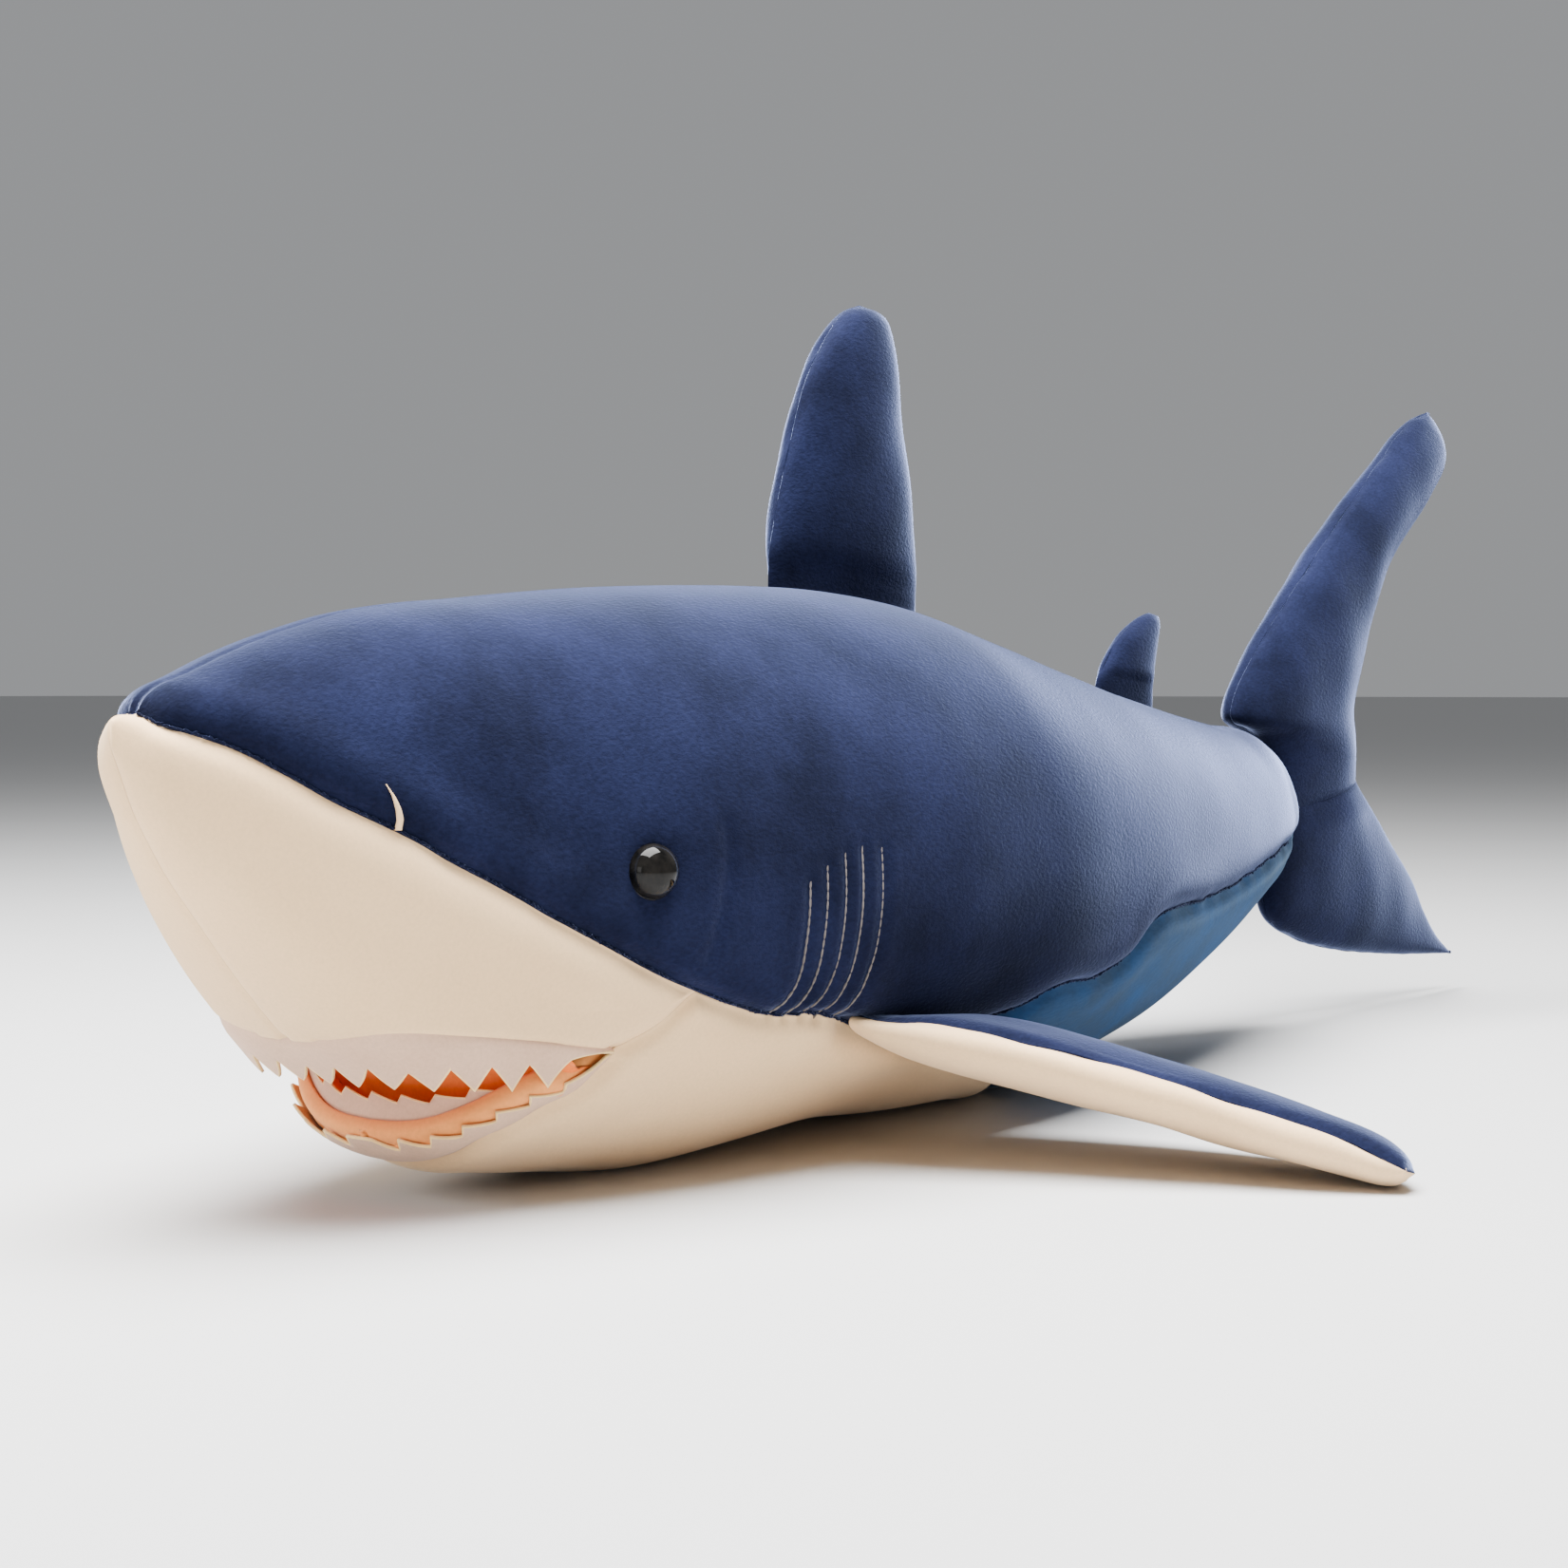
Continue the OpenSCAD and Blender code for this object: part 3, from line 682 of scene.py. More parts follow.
def swell(points):
    # how far in mm the stuffed fabric stands out of the plain shape: sunk at seams, full beside them
    near = distanceTo(sewnLines, points)
    held = np.clip(near / 12, 0, 1)
    pucker = 1 + seamSet["pucker"] * waves(points, 3.4, 11)
    move = -seamSet["depth"] * pucker * np.exp(-(near / seamSet["spread"]) ** 2)
    full = np.exp(-((near - seamSet["puffAt"]) / seamSet["puffSpread"]) ** 2)
    move += seamSet["puff"] * full * (1 + 0.5 * waves(points, 16, 12))
    move += 0.5 * waves(points, 30, 13) + 0.2 * waves(points, 11, 14) + held * clothAt(points)
    for lines, depth, spread in grooves:
        move -= depth * np.exp(-(distanceTo(lines, points) / spread) ** 2)
    return move


def sewn(s, angle, lift=0.0):
    # the finished surface of the body, with its floor contact pressed flat
    points = skin(s, angle)
    points = points + skinNormal(s, angle) * (swell(points) + lift)[..., None]
    points[..., 2] = np.maximum(points[..., 2], 0.02)
    return points


def coons(left, bottom, right, top):
    # a sheet between four edges: left and right run bottom to top, bottom and top left to right
    v = np.linspace(0, 1, len(left))[:, None, None]
    u = np.linspace(0, 1, len(bottom))[None, :, None]
    ruled = (1 - v) * bottom[None] + v * top[None] + (1 - u) * left[:, None] + u * right[:, None]
    low, high = (1 - u) * bottom[0] + u * bottom[-1], (1 - u) * top[0] + u * top[-1]
    return ruled - ((1 - v) * low + v * high)


def plainBodyTree(rows=420, cols=240):
    s = bodyShape["end"] * np.linspace(0, 1, rows) ** 1.5
    shell = skin(s[:, None], roundAngles(cols)).reshape(-1, 3)
    return BVHTree.FromPolygons([Vector(p) for p in shell], gridFaces(rows, cols, True).tolist())


def backPanel(rows=340, cols=110):
    share = np.linspace(0, 1, rows)
    share = share * 0.55 + 0.45 * (1 - np.cos(np.pi * share)) / 2
    s = seams["apex"] + (bodyShape["end"] - seams["apex"]) * share
    low = seamAngle(s)
    v = eased(cols)[None, :]
    return sewn(s[:, None] + 0 * v, low[:, None] + (90 - low[:, None]) * v)


def facePanel(rows=120, cols=140):
    tree = plainBodyTree()
    across, along = eased(rows, 0.6), eased(cols, 0.5)
    grid = coons(resample(centreLine()[::-1], share=across), resample(lipLine(), share=along),
                 resample(cornerLine(), share=across), resample(sideSeamLine(300, cornerEnd), share=along))
    # rays from inside the head lay the sheet onto the body
    heart = Vector((0, 70, 100))
    for i in range(1, rows - 1):
        for j in range(1, cols - 1):
            hit = tree.ray_cast(heart, (Vector(grid[i, j]) - heart).normalized())[0]
            if hit is not None:
                grid[i, j] = hit
    done = sewn(np.clip(grid[..., 1], 0, bodyShape["end"]), angleOf(grid))
    done[:, 0, 0] = 0
    return done


def bellyPanel(rows=230, cols=150):
    # from the chin seam and both corner seams back to the cross seam
    corner = cornerLine()
    half = np.concatenate([chinRow, np.stack([corner[1:, 1], angleOf(corner[1:])], -1)])
    front = np.concatenate([half[:0:-1] * [1, -1] + [0, -180], half])
    line = skin(half[:, 0], half[:, 1])
    line = np.concatenate([mirrored(line[:0:-1]), line])
    run = np.concatenate([[0], np.cumsum(np.linalg.norm(np.diff(line, axis=0), axis=1))]) / lengthOf(line)
    u = eased(cols, 0.55)
    bottom = np.stack([np.interp(u, run, front[:, k]) for k in (0, 1)], -1)
    top = crossRow(u)
    s = cornerEnd + (seams["belly"] - cornerEnd) * eased(rows, 0.5)
    right = np.stack([s, seamAngle(s)], -1)
    left = np.stack([s, -180 - seamAngle(s)], -1)
    grid = coons(left, bottom, right, top)
    return sewn(grid[..., 0], grid[..., 1])


def rearBellyPanel(rows=170, cols=120):
    u = eased(cols, 0.5)
    front = crossRow(u)
    v = eased(rows, 0.5)[:, None]
    s = front[None, :, 0] * (1 - v) + bodyShape["end"] * v
    edge = seams["belly"] * (1 - v) + bodyShape["end"] * v
    high = seamAngle(edge)
    sSide = np.abs(2 * u - 1)[None, :] ** 6
    s = s * (1 - sSide) + edge * sSide
    return sewn(s, -180 - high + (180 + 2 * high) * u[None, :])


jawBend = bendAt("jaw", (0, 150, 30), (0, 106, 30))
fabric = 1.6 * mm


def addPanel(name, grid, material, replaces, bend=None):
    thing = makeMesh(name, toFrame(grid), gridFaces(*grid.shape[:2]))
    turnFaces(thing, fromMiddle)
    thicken(thing, fabric)
    return finishPiece(thing, material, "torso", replaces, bend=bend)


def sewBody():
    back, face = backPanel(), facePanel()
    for word, side in twoSides:
        for name, grid, material in (("back", back, "navy_velvet"), ("face", face, "cream_velvet")):
            grid = grid if side > 0 else mirrored(grid)
            addPanel(name + "_panel_" + word, grid, material, [name + "_" + word])
    addPanel("belly_skin", bellyPanel(), "cream_velvet", ["belly_panel"], jawBend)
    addPanel("rear_belly_skin", rearBellyPanel(), "sky_velvet", ["rear_belly_panel"])
    print("body panels sewn")


sewBody()


feltSet = {"thickness": 0.9 * mm, "edge": 0.5, "looks": ["lilac_felt", "tooth_edge"]}


def insetLine(points, amount):
    # the outline moved inwards, with its corners kept sharp
    points = np.asarray(points, float)
    before, after = points - np.roll(points, 1, 0), np.roll(points, -1, 0) - points
    n1, n2 = (unit(np.stack([-run[:, 1], run[:, 0]], -1)) for run in (before, after))
    way = n1 + n2
    way /= np.maximum((way * n1).sum(-1, keepdims=True), 0.35)
    return points + way * amount


def onSegments(points, line):
    # distance from each 2D point to an open line
    a, b = line[:-1][None], line[1:][None]
    p = points[:, None]
    along = b - a
    t = np.clip(((p - a) * along).sum(-1) / np.maximum((along ** 2).sum(-1), 1e-9), 0, 1)
    return np.linalg.norm(p - (a + t[..., None] * along), axis=-1).min(1)


def cutFelt(name, cutLine, sewnLine, place, spacing, outward):
    # a flat piece of felt between its toothed edge and its sewn edge, laid in place; cut edges are paler
    cutLine = np.array(cutLine, float)
    outline = np.concatenate([cutLine, np.array(sewnLine, float)])
    x, y = outline.T
    if (x * np.roll(y, -1) - np.roll(x, -1) * y).sum() < 0:
        outline = outline[::-1]
    dense = []
    for a, b in zip(outline, np.roll(outline, -1, 0)):
        steps = max(1, int(np.linalg.norm(b - a) / spacing))
        dense += [a + (b - a) * k / steps for k in range(steps)]
    dense = np.array(dense)
    inner = insetLine(dense, feltSet["edge"])
    low, high = dense.min(0), dense.max(0)
    gx, gy = np.meshgrid(np.arange(low[0], high[0], spacing), np.arange(low[1], high[1], spacing))
    filler = np.stack([gx.ravel(), gy.ravel()], -1)
    closed = np.concatenate([dense, dense[:1]])
    filler = filler[onSegments(filler, closed) > feltSet["edge"] + 0.5 * spacing]
    inner = inner[onSegments(inner, closed) > 0.8 * feltSet["edge"]]
    points = [Vector(p) for p in np.concatenate([dense, inner, filler])]
    count = len(dense)
    edges = [(i, (i + 1) % count) for i in range(count)]
    flat, _, faces, *_ = delaunay_2d_cdt(points, edges, [list(range(count))], 1, 1e-5)
    flat = np.array([tuple(p) for p in flat])
    mesh = bpy.data.meshes.new(name)
    laid = [tuple(p) for p in toFrame(place(flat[:, 0], flat[:, 1]))]
    mesh.from_pydata(laid, [], [tuple(face) for face in faces])
    middle = np.array([flat[list(f)].mean(0) for f in faces])
    pale = onSegments(middle, cutLine) < feltSet["edge"]
    mesh.polygons.foreach_set("material_index", pale.astype(int))
    smoothFaces(mesh)
    thing = addObject(name, mesh)
    turnFaces(thing, outward)
    for look in feltSet["looks"]:
        mesh.materials.append(materials[look])
    thicken(thing, feltSet["thickness"], rim=1)
    return thing


def fullRow(row):
    # a row from the middle to the left corner, made to run from the right corner to the left one
    return np.concatenate([mirrored(row[:0:-1]), row])


upperTeethSet = {
    # where the notches and the points of the strip lie on the body, as (s, z)
    "notchLine": [(64.9, 42), (66.5, 42.5), (70, 43), (78, 43), (88, 42.6), (98, 42.6), (110, 42.5),
                  (121, 42.3), (125.5, 43)],
    "pointLine": [(69.2, 37.4), (71, 37.2), (74, 37), (78.5, 36.3), (86, 35.4), (95.5, 35), (105.5, 35),
                  (117, 38), (124.5, 42.6)],
    # how far each stands from the middle, out of the half length; depth is 1 at notches and 2 at points
    "points": [5.2, 15.2, 25.6, 35.8, 46.2, 56.4, 66.8], "notches": [10.2, 20.6, 30.8, 41.2, 51.4, 61.6],
    "end": [(73.5, 0.9), (79.5, 0.5)], "halfLength": 86.0, "depthUnit": 7, "margin": 0.4, "under": 1.8,
    "seed": 5,
}


def rowAt(knots):
    knots = np.array(knots, float)
    s = knots[0, 0] + (knots[-1, 0] - knots[0, 0]) * np.linspace(0, 1, 200) ** 2.2
    points = onSide(s, curve(knots, s))
    points[0, 0] = 0
    return fullRow(resample(points, 200))


def makeUpperTeeth():
    look, deep = upperTeethSet, upperTeethSet["depthUnit"]
    root, notch, point = rowAt(seams["lip"]), rowAt(look["notchLine"]), rowAt(look["pointLine"])
    length = lengthOf(root)
    rng = np.random.default_rng(look["seed"])
    half = [(x, 2 + rng.uniform(-0.12, 0.12)) for x in look["points"]]
    half += [(x, 1 + rng.uniform(-0.1, 0.12)) for x in look["notches"]]
    half = sorted(half) + look["end"]
    cut = [(-x, d) for x, d in half[::-1]] + [(0, 1.0)] + half
    scale = 0.5 * length / look["halfLength"]
    end = 0.5 * length - look["margin"]
    cut = [(-end, 0.05)] + [(x * scale, d * deep) for x, d in cut] + [(end, 0.05)]
    seam = [(x, -look["under"]) for x in np.linspace(end, -end, 60)]

    def place(x, y):
        # through the seam, the notch line and the point line, tucked under at the seam
        share = np.clip(x / length + 0.5, 0, 1)
        d = (y / deep)[:, None]
        a, b, c = (alongRow(line, share) for line in (root, notch, point))
        on = a * (1 - d) * (2 - d) / 2 + b * d * (2 - d) - c * d * (1 - d) / 2
        n = skinNormal(on[:, 1], angleOf(on))
        tuck = 1.1 * np.exp(-(np.maximum(y, 0) / 1.3) ** 2)[:, None] - 0.9 * np.minimum(d * deep, 0)
        return on + n * (0.25 - tuck + 0.35 * np.clip(d - 1, 0, 1))

    thing = cutFelt("upper_tooth_strip", cut, seam, place, 1.5, fromMiddle)
    finishPiece(thing, feltSet["looks"], "torso", ["upper_teeth"])


chinSet = {
    # mm above and below the rim, and from the middle to each tip and step on the left
    "farTeeth": 6, "pitch": 10.0, "above": 1.6, "below": 2.4, "seed": 9,
    "tips": [3.6, 13.8, 24.6, 34.6, 44.6, 54.8, 65.5], "steps": [11.6, 22.4, 32.6, 43.0, 53.2, 63.6]}


def makeChin():
    # saw edge above, sewn to the belly along the chin seam below
    rim, seam = fullRow(skin(*rimRow.T)), fullRow(chinLine)
    rimAngle = np.concatenate([-180 - rimRow[:0:-1, 1], rimRow[:, 1]])
    seamAngles = np.concatenate([-180 - chinRow[:0:-1, 1], chinRow[:, 1]])
    rimS, seamS = (np.concatenate([row[:0:-1, 0], row[:, 0]]) for row in (rimRow, chinRow))
    grid = np.linspace(0, 1, len(rimS))
    depth = np.maximum(np.linalg.norm(rim - seam, axis=1), 0.5)
    length = lengthOf(rim)
    rng = np.random.default_rng(chinSet["seed"])
    half = 0.5 * length
    # towards the left corner each tooth runs down a long slope and then steps up to the next
    cut = [(-half, -0.2)]
    for k in range(chinSet["farTeeth"], 0, -1):
        tip = 3.4 - chinSet["pitch"] * k + rng.uniform(-0.4, 0.4)
        cut += [(tip - 1.6, chinSet["below"]), (tip, -chinSet["above"])]
    for tip, step in zip(chinSet["tips"], chinSet["steps"]):
        cut += [(tip, -chinSet["above"] + rng.uniform(-0.3, 0.3))]
        cut += [(step, chinSet["below"] + rng.uniform(-0.3, 0.3))]
    cut += [(chinSet["tips"][-1], -1.5), (half, -0.2)]
    sewnEdge = [(x, float(np.interp(x / length + 0.5, grid, depth))) for x in np.linspace(half, -half, 80)]

    def place(x, y):
        share = np.clip(x / length + 0.5, 0, 1)
        v = y / np.interp(share, grid, depth)
        s = np.interp(share, grid, rimS) * (1 - v) + np.interp(share, grid, seamS) * v
        a = np.interp(share, grid, rimAngle) * (1 - v) + np.interp(share, grid, seamAngles) * v
        return sewn(s, a, 0.3)

    thing = cutFelt("chin_skin", cut, sewnEdge, place, 1.6, fromMiddle)
    finishPiece(thing, feltSet["looks"], None, ["chin_panel"], bend=jawBend)


mouthSet = {
    # the fold of the gum, behind which the inner teeth stand, as (s, x, z)
    "fold": [(88.6, 0, 24.2), (89.4, 12, 24.8), (91.5, 22, 26.8), (95.5, 32, 31), (101, 40.5, 36.2),
             (110, 47.2, 40.8), (127, 54.0, 45.0)],
    "roll": 2.4, "lining": 0.8 * mm, "halfWidth": 53.5, "wall": 98.0, "throat": 122,
    "innerHeight": 7.0, "innerHalf": 41.0, "innerTeeth": 7, "innerSeed": 17,
}


def foldRow(count=140):
    knots = np.array(mouthSet["fold"], float)
    t = np.linspace(0, 1, len(knots))
    even = np.linspace(0, 1, count)
    line = np.stack([curve(np.stack([t, knots[:, k]], -1), even) for k in (1, 0, 2)], -1)
    return fullRow(resample(line, count))


def makeGum(rows=180, cols=26):
    # a soft roll from under the saw edge over to the fold, where it tucks down behind
    fold = resample(foldRow(), rows)
    u = np.linspace(-1, 1, rows)
    under = np.interp(u, [-1, -0.96, -0.8, 0.8, 0.96, 1], [4.4, 4.0, 1.1, 1.1, 4.0, 4.4])[:, None]
    below = rimRow[:, 0] + 1.5, rimRow[:, 1] - 2.0
    rim = resample(fullRow(skin(*below)), rows) - resample(fullRow(skinNormal(*below)), rows) * under
    v = np.linspace(-0.12, 1, cols)[None, :, None]
    grid = rim[:, None] * (1 - v) + fold[:, None] * v
    n = unit(np.cross(np.gradient(grid, axis=0), np.gradient(grid, axis=1)))
    n *= np.sign((n * (grid - [0, 125, 12])).sum(-1, keepdims=True))
    ends = np.clip((1 - np.abs(u)) / 0.12, 0, 1)[:, None, None]
    high = mouthSet["roll"] * np.sin(np.pi * np.clip(v, 0, 1)) ** 0.8
    grid = grid + n * ends * high * (1 + 0.1 * waves(grid, 9, 21)[..., None])
    tuck = np.array([0, 1.0, -0.9]) * np.array([0.5, 1.2, 2.4])[None, :, None] * (0.4 + 0.6 * ends)
    grid = np.concatenate([grid, fold[:, None] + tuck], 1)
    thing = makeMesh("gum_roll", toFrame(grid), gridFaces(*grid.shape[:2]))
    turnFaces(thing, lambda c: (0, -0.4, 1))
    thicken(thing, mouthSet["lining"])
    finishPiece(thing, "gum_lining", None, ["gum_lining"], bend=jawBend)


def makePocket(rows=60, cols=40):
    # the roof, which drops to the throat behind the wall, and the floor behind the fold
    u = np.linspace(-1, 1, cols)[None, :]
    notch = rowAt(upperTeethSet["notchLine"])
    x = mouthSet["halfWidth"] * u
    front = np.interp(x, notch[:, 0], notch[:, 1]) + 0.6
    s = front + (mouthSet["throat"] - front) * np.linspace(0, 1, rows)[:, None]
    deep = mouthSet["wall"] + 12 * u ** 2
    high = np.clip((s - deep) / 6, 0, 1)
    drop = high * high * (3 - 2 * high) * np.clip(1.2 - u ** 2, 0, 1)
    rise = np.clip((s - front) / 5, 0, 1)
    roof = np.stack([x + 0 * s, s, 43.6 + rise * (5.5 * (1 - u ** 2) + 1.0) - 24 * drop], -1)
    thing = makeMesh("mouth_roof", toFrame(roof), gridFaces(rows, cols))
    turnFaces(thing, lambda c: (0, -0.6, -1))
    thicken(thing, mouthSet["lining"])
    finishPiece(thing, "shaded_pocket_lining", "torso", ["palate_lining"])
    fold = foldRow(200)[199:]
    s = np.linspace(fold[0, 1] + 2.4, 140, rows)[:, None]
    wide = np.interp(s, fold[:, 1], fold[:, 0]) - 1.5
    edge = np.interp(s, fold[:, 1], fold[:, 2]) - 2.6
    middle = 22.5 + 14 * np.clip((s - 95) / 50, 0, 1) ** 1.4
    floor = np.stack([wide * u, s + 0 * u, middle + (edge - middle) * np.abs(u) ** 3], -1)
    thing = makeMesh("mouth_floor", toFrame(floor), gridFaces(rows, cols))
    turnFaces(thing, lambda c: (0, 0, 1))
    thicken(thing, mouthSet["lining"])
    finishPiece(thing, "shaded_pocket_lining", None, bend=jawBend)


def makeInnerTeeth():
    fold = foldRow(200)
    length = lengthOf(fold)
    half = mouthSet["innerHalf"]
    rng = np.random.default_rng(mouthSet["innerSeed"])
    pitch = 2 * half / mouthSet["innerTeeth"]

    def height(x):
        return mouthSet["innerHeight"] * np.clip(1 - (x / half) ** 2, 0, 1) ** 0.6 + 0.6

    cut = [(-half, 0.4)]
    for k in range(mouthSet["innerTeeth"]):
        tip = -half + pitch * (k + 0.3) + rng.uniform(-0.4, 0.4)
        cut += [(tip, height(tip)), (tip + 0.9 * pitch, max(height(tip + 0.9 * pitch) - 2.4, 0.5))]
    cut = [p for p in cut if abs(p[0]) <= half]
    cut.append((half, 0.4))
    root = [(x, -2.6) for x in np.linspace(half, -half, 50)]

    def place(x, y):
        base = alongRow(fold, np.clip(x / length + 0.5, 0, 1))
        return base + y[:, None] * np.array([0, 0.22, 0.97]) + np.array([0, 1.0, 0])

    thing = cutFelt("inner_tooth_strip", cut, root, place, 1.4, lambda c: (0, -1, 0.1))
    finishPiece(thing, feltSet["looks"], None, ["inner_teeth"], bend=jawBend)


makeUpperTeeth()
makeChin()
makeGum()
makePocket()
makeInnerTeeth()
print("mouth made")

dorsalRise, secondRise = 92, 28


def level(rows):
    # rows of (front s, front z, back s, back z, thickness) in the middle of the body
    return [((0, a, b), (0, c, d), thick) for a, b, c, d, thick in rows]


def raised(base, rise, rows):
    # rows of (share of the height, front edge, back edge, drop of the back edge, thickness)
    return level([(front, base + rise * f, back, base + rise * f - drop, thick)
                  for f, front, back, drop, thick in rows])


chordWay = unit(np.array([-14.0, 88, -20]))


def swept(rows):
    # rows of (front edge, chord, thickness)
    return [(p, tuple(np.array(p) + chord * chordWay), thick) for p, chord, thick in rows]


# rows from root to tip of (front edge, back edge, thickness), and the way each fin is thick
fins = {
    "dorsal": {"up": (1, 0, 0), "rows": raised(184, dorsalRise, [
        (-0.10, 268, 352, 13, 12), (-0.03, 268, 352, 12, 13), (0.04, 268, 351, 11, 17),
        (0.14, 270, 349, 9, 24), (0.3, 274, 346, 6, 27), (0.55, 282, 341, 4, 25),
        (0.77, 292, 337.5, 3, 21), (0.91, 303, 335, 3, 16), (0.975, 310.5, 333, 2.5, 11),
        (1, 319, 329, 1.5, 3)])},
    "second": {"up": (1, 0, 0), "rows": raised(147, secondRise, [
        (-0.22, 472, 517, 7, 5), (-0.05, 473, 517, 6, 7), (0.1, 475, 517, 5, 9), (0.3, 480, 517, 4, 12),
        (0.65, 490, 519, 3, 11), (0.88, 502, 521, 2, 8), (0.97, 509, 521, 1.5, 5), (1, 514, 520, 1, 1.5)])},
    "tailUp": {"up": (1, 0, 0), "rows": level([
        (604, 88, 694.5, 101.5, 20), (608, 95, 694, 104, 25), (608, 112, 691, 114, 31),
        (600, 124, 688, 124, 34), (580, 134, 688, 134, 34), (596, 156, 693, 152, 34),
        (628, 182, 703, 178, 34), (661, 207, 717, 199, 32), (699, 235, 740, 217, 29),
        (730, 257, 759, 231, 26), (750, 269, 775, 242, 22), (761, 273.5, 780, 251, 16),
        (770, 275, 781, 262, 4)])},
    "tailDown": {"up": (-1, 0, 0), "rows": level([
        (604, 95, 694.5, 104, 20), (608, 88, 696, 101, 25), (609, 75, 706, 92, 30),
        (609, 58, 722, 80, 28), (616, 44, 742, 65, 24), (645, 33, 757, 53, 19),
        (685, 26, 768, 41, 13), (735, 21, 781, 29, 8), (780, 18, 794, 20.5, 4),
        (797, 17, 799.5, 17.5, 1.5)])},
    "side": {"up": (0.139, 0.249, 0.959), "rows": swept([
        ((76, 211, 46), 84, 12), ((82, 212, 44.5), 86, 14), ((88, 214, 43.8), 87, 16.5),
        ((101, 220, 42), 87, 20), ((130, 234, 36), 81, 21.5), ((160, 248, 28), 70, 20.5),
        ((186, 260, 20), 56, 18), ((207, 270, 13.5), 38, 14.5), ((217, 275.5, 9.5), 24, 11),
        ((223, 280, 7), 9, 4)])},
}
finSet = {"power": 1.12, "sidePower": 0.9, "wrap": 26, "groove": 0.9, "spread": 3.0, "wobble": 0.55,
          "fabric": 1.2 * mm}


def finGrid(finName, start, stop, rows, cols, shrink=0.0):
    # one side of a fin, from its front edge to its back edge, root to tip
    flat = np.array([[*a, *b, thick] for a, b, thick in fins[finName]["rows"]], float)
    knots = np.arange(len(flat))
    u = np.linspace(0, len(flat) - 1, rows)
    v = np.stack([curve(np.stack([knots, flat[:, k]], -1), u) for k in range(7)], -1)
    front, back, thick = v[:, None, 0:3], v[:, None, 3:6], v[:, None, 6:7]
    middle, half = (front + back) / 2, (front - back) / 2
    length = np.linalg.norm(half, axis=-1, keepdims=True)
    half = half / length * np.maximum(length - shrink * 1.6, 0.3 * length)
    thick = np.maximum(thick - 2 * shrink, 0.25 * thick)
    thick = thick * np.sqrt(np.clip((rows - 1 - np.arange(rows)) / 4, 0, 1))[:, None, None]  # closes the tip
    power, lift = finSet["power"], 0 * u
    if finName == "side":
        # the pale underside of a side fin wraps up over its front edge
        power = finSet["sidePower"]
        lift = finSet["wrap"] * np.interp(np.linspace(0, 1, rows), [0, 0.8, 1], [1, 0.8, 0.2])
    turn = start + (stop - start) * eased(cols, 0.35)[None, :]
    turn = turn + lift[:, None] * (np.cos(np.radians(turn)) + 1) / 2 * (stop - start != 360)
    phi = np.radians(turn)[..., None]
    up = unit(np.array(fins[finName]["up"], float))
    si = np.sin(phi)
    return middle + half * np.cos(phi) + up * thick / 2 * np.sign(si) * np.abs(si) ** power, up


def finPanel(finName, upper, rows, cols, seed):
    grid, up = finGrid(finName, 0 if upper else 180, 180 if upper else 360, rows, cols)
    n = unit(np.cross(np.gradient(grid, axis=0), np.gradient(grid, axis=1)))
    if (n * up).sum(-1).mean() * (1 if upper else -1) < 0:
        n = -n
    near = distanceTo([grid[:, 0], grid[:, -1]], grid)
    fade = np.clip(near / 6, 0, 1)
    move = -finSet["groove"] * np.exp(-(near / finSet["spread"]) ** 2) * (1 + 0.5 * waves(grid, 3.0, seed))
    move += finSet["wobble"] * fade * waves(grid, 17, seed + 1) + 0.35 * fade * waves(grid, 6, seed + 2)
    size = np.linalg.norm(grid[:, cols // 2] - (grid[:, 0] + grid[:, -1]) / 2, axis=1)
    move *= np.clip(size / 7 - 0.15, 0, 1)[:, None]
    return grid + n * move[..., None]


def finSkin(pieceName, sides, material, bend, replaces, mirror=False, rows=110, cols=64, seed=5):
    # sides are (fin, upper or not); the tail has two lobes in one skin
    k = np.array([-1, 1, 1]) if mirror else np.array([1, 1, 1])
    points = [finPanel(fin, upper, rows, cols, seed + 9 * i) * k for i, (fin, upper) in enumerate(sides)]
    faces = [gridFaces(rows, cols) + i * rows * cols for i in range(len(sides))]
    points = toFrame(np.concatenate([p.reshape(-1, 3) for p in points]))
    thing = makeMesh(pieceName, points, np.concatenate(faces))
    fin, upper = sides[0]
    up = np.array(fins[fin]["up"], float) * k * (1 if upper else -1)
    turnFaces(thing, lambda c: up)
    thicken(thing, finSet["fabric"])
    return finishPiece(thing, material, None, replaces, bend=bend)


dorsalBend = bendAt("dorsal", (0, 310, 171), (0, 312, 193))
secondBend = bendAt("second_dorsal", (0, 496, 140), (0, 497, 153))
tailBend = bendAt("tail", (0, 590, 95), (0, 640, 95))


def sideBend(word):
    return bendAt(word + "_fin", (76, 251, 36), (96, 253, 34), word == "right")


def makeFins():
    # the lower tail lobe is drawn downwards, so its upper side is its right one
    for piece, lobes, bend, seeds, size in (
            ("dorsal", ["dorsal"], dorsalBend, (41, 47), {}),
            ("second_dorsal", ["second"], secondBend, (53, 59), {"rows": 60, "cols": 40}),
            ("tail", ["tailUp", "tailDown"], tailBend, (61, 67), {"rows": 130})):
        for (word, side), seed in zip(twoSides, seeds):
            sides = [(lobe, (side > 0) != (lobe == "tailDown")) for lobe in lobes]
            name, node = piece + "_skin_" + word, piece + "_" + word
            finSkin(name, sides, "navy_velvet", bend, [node], seed=seed, **size)
    for word, side in twoSides:
        for face, upper, material, seed in (("top", True, "navy_velvet", 71),
                                            ("bottom", False, "cream_velvet", 73)):
            node = word + "_fin_" + face
            finSkin(node + "_skin", [("side", upper)], material, sideBend(word), [node], side < 0, seed=seed)
    print("fins stuffed")


makeFins()


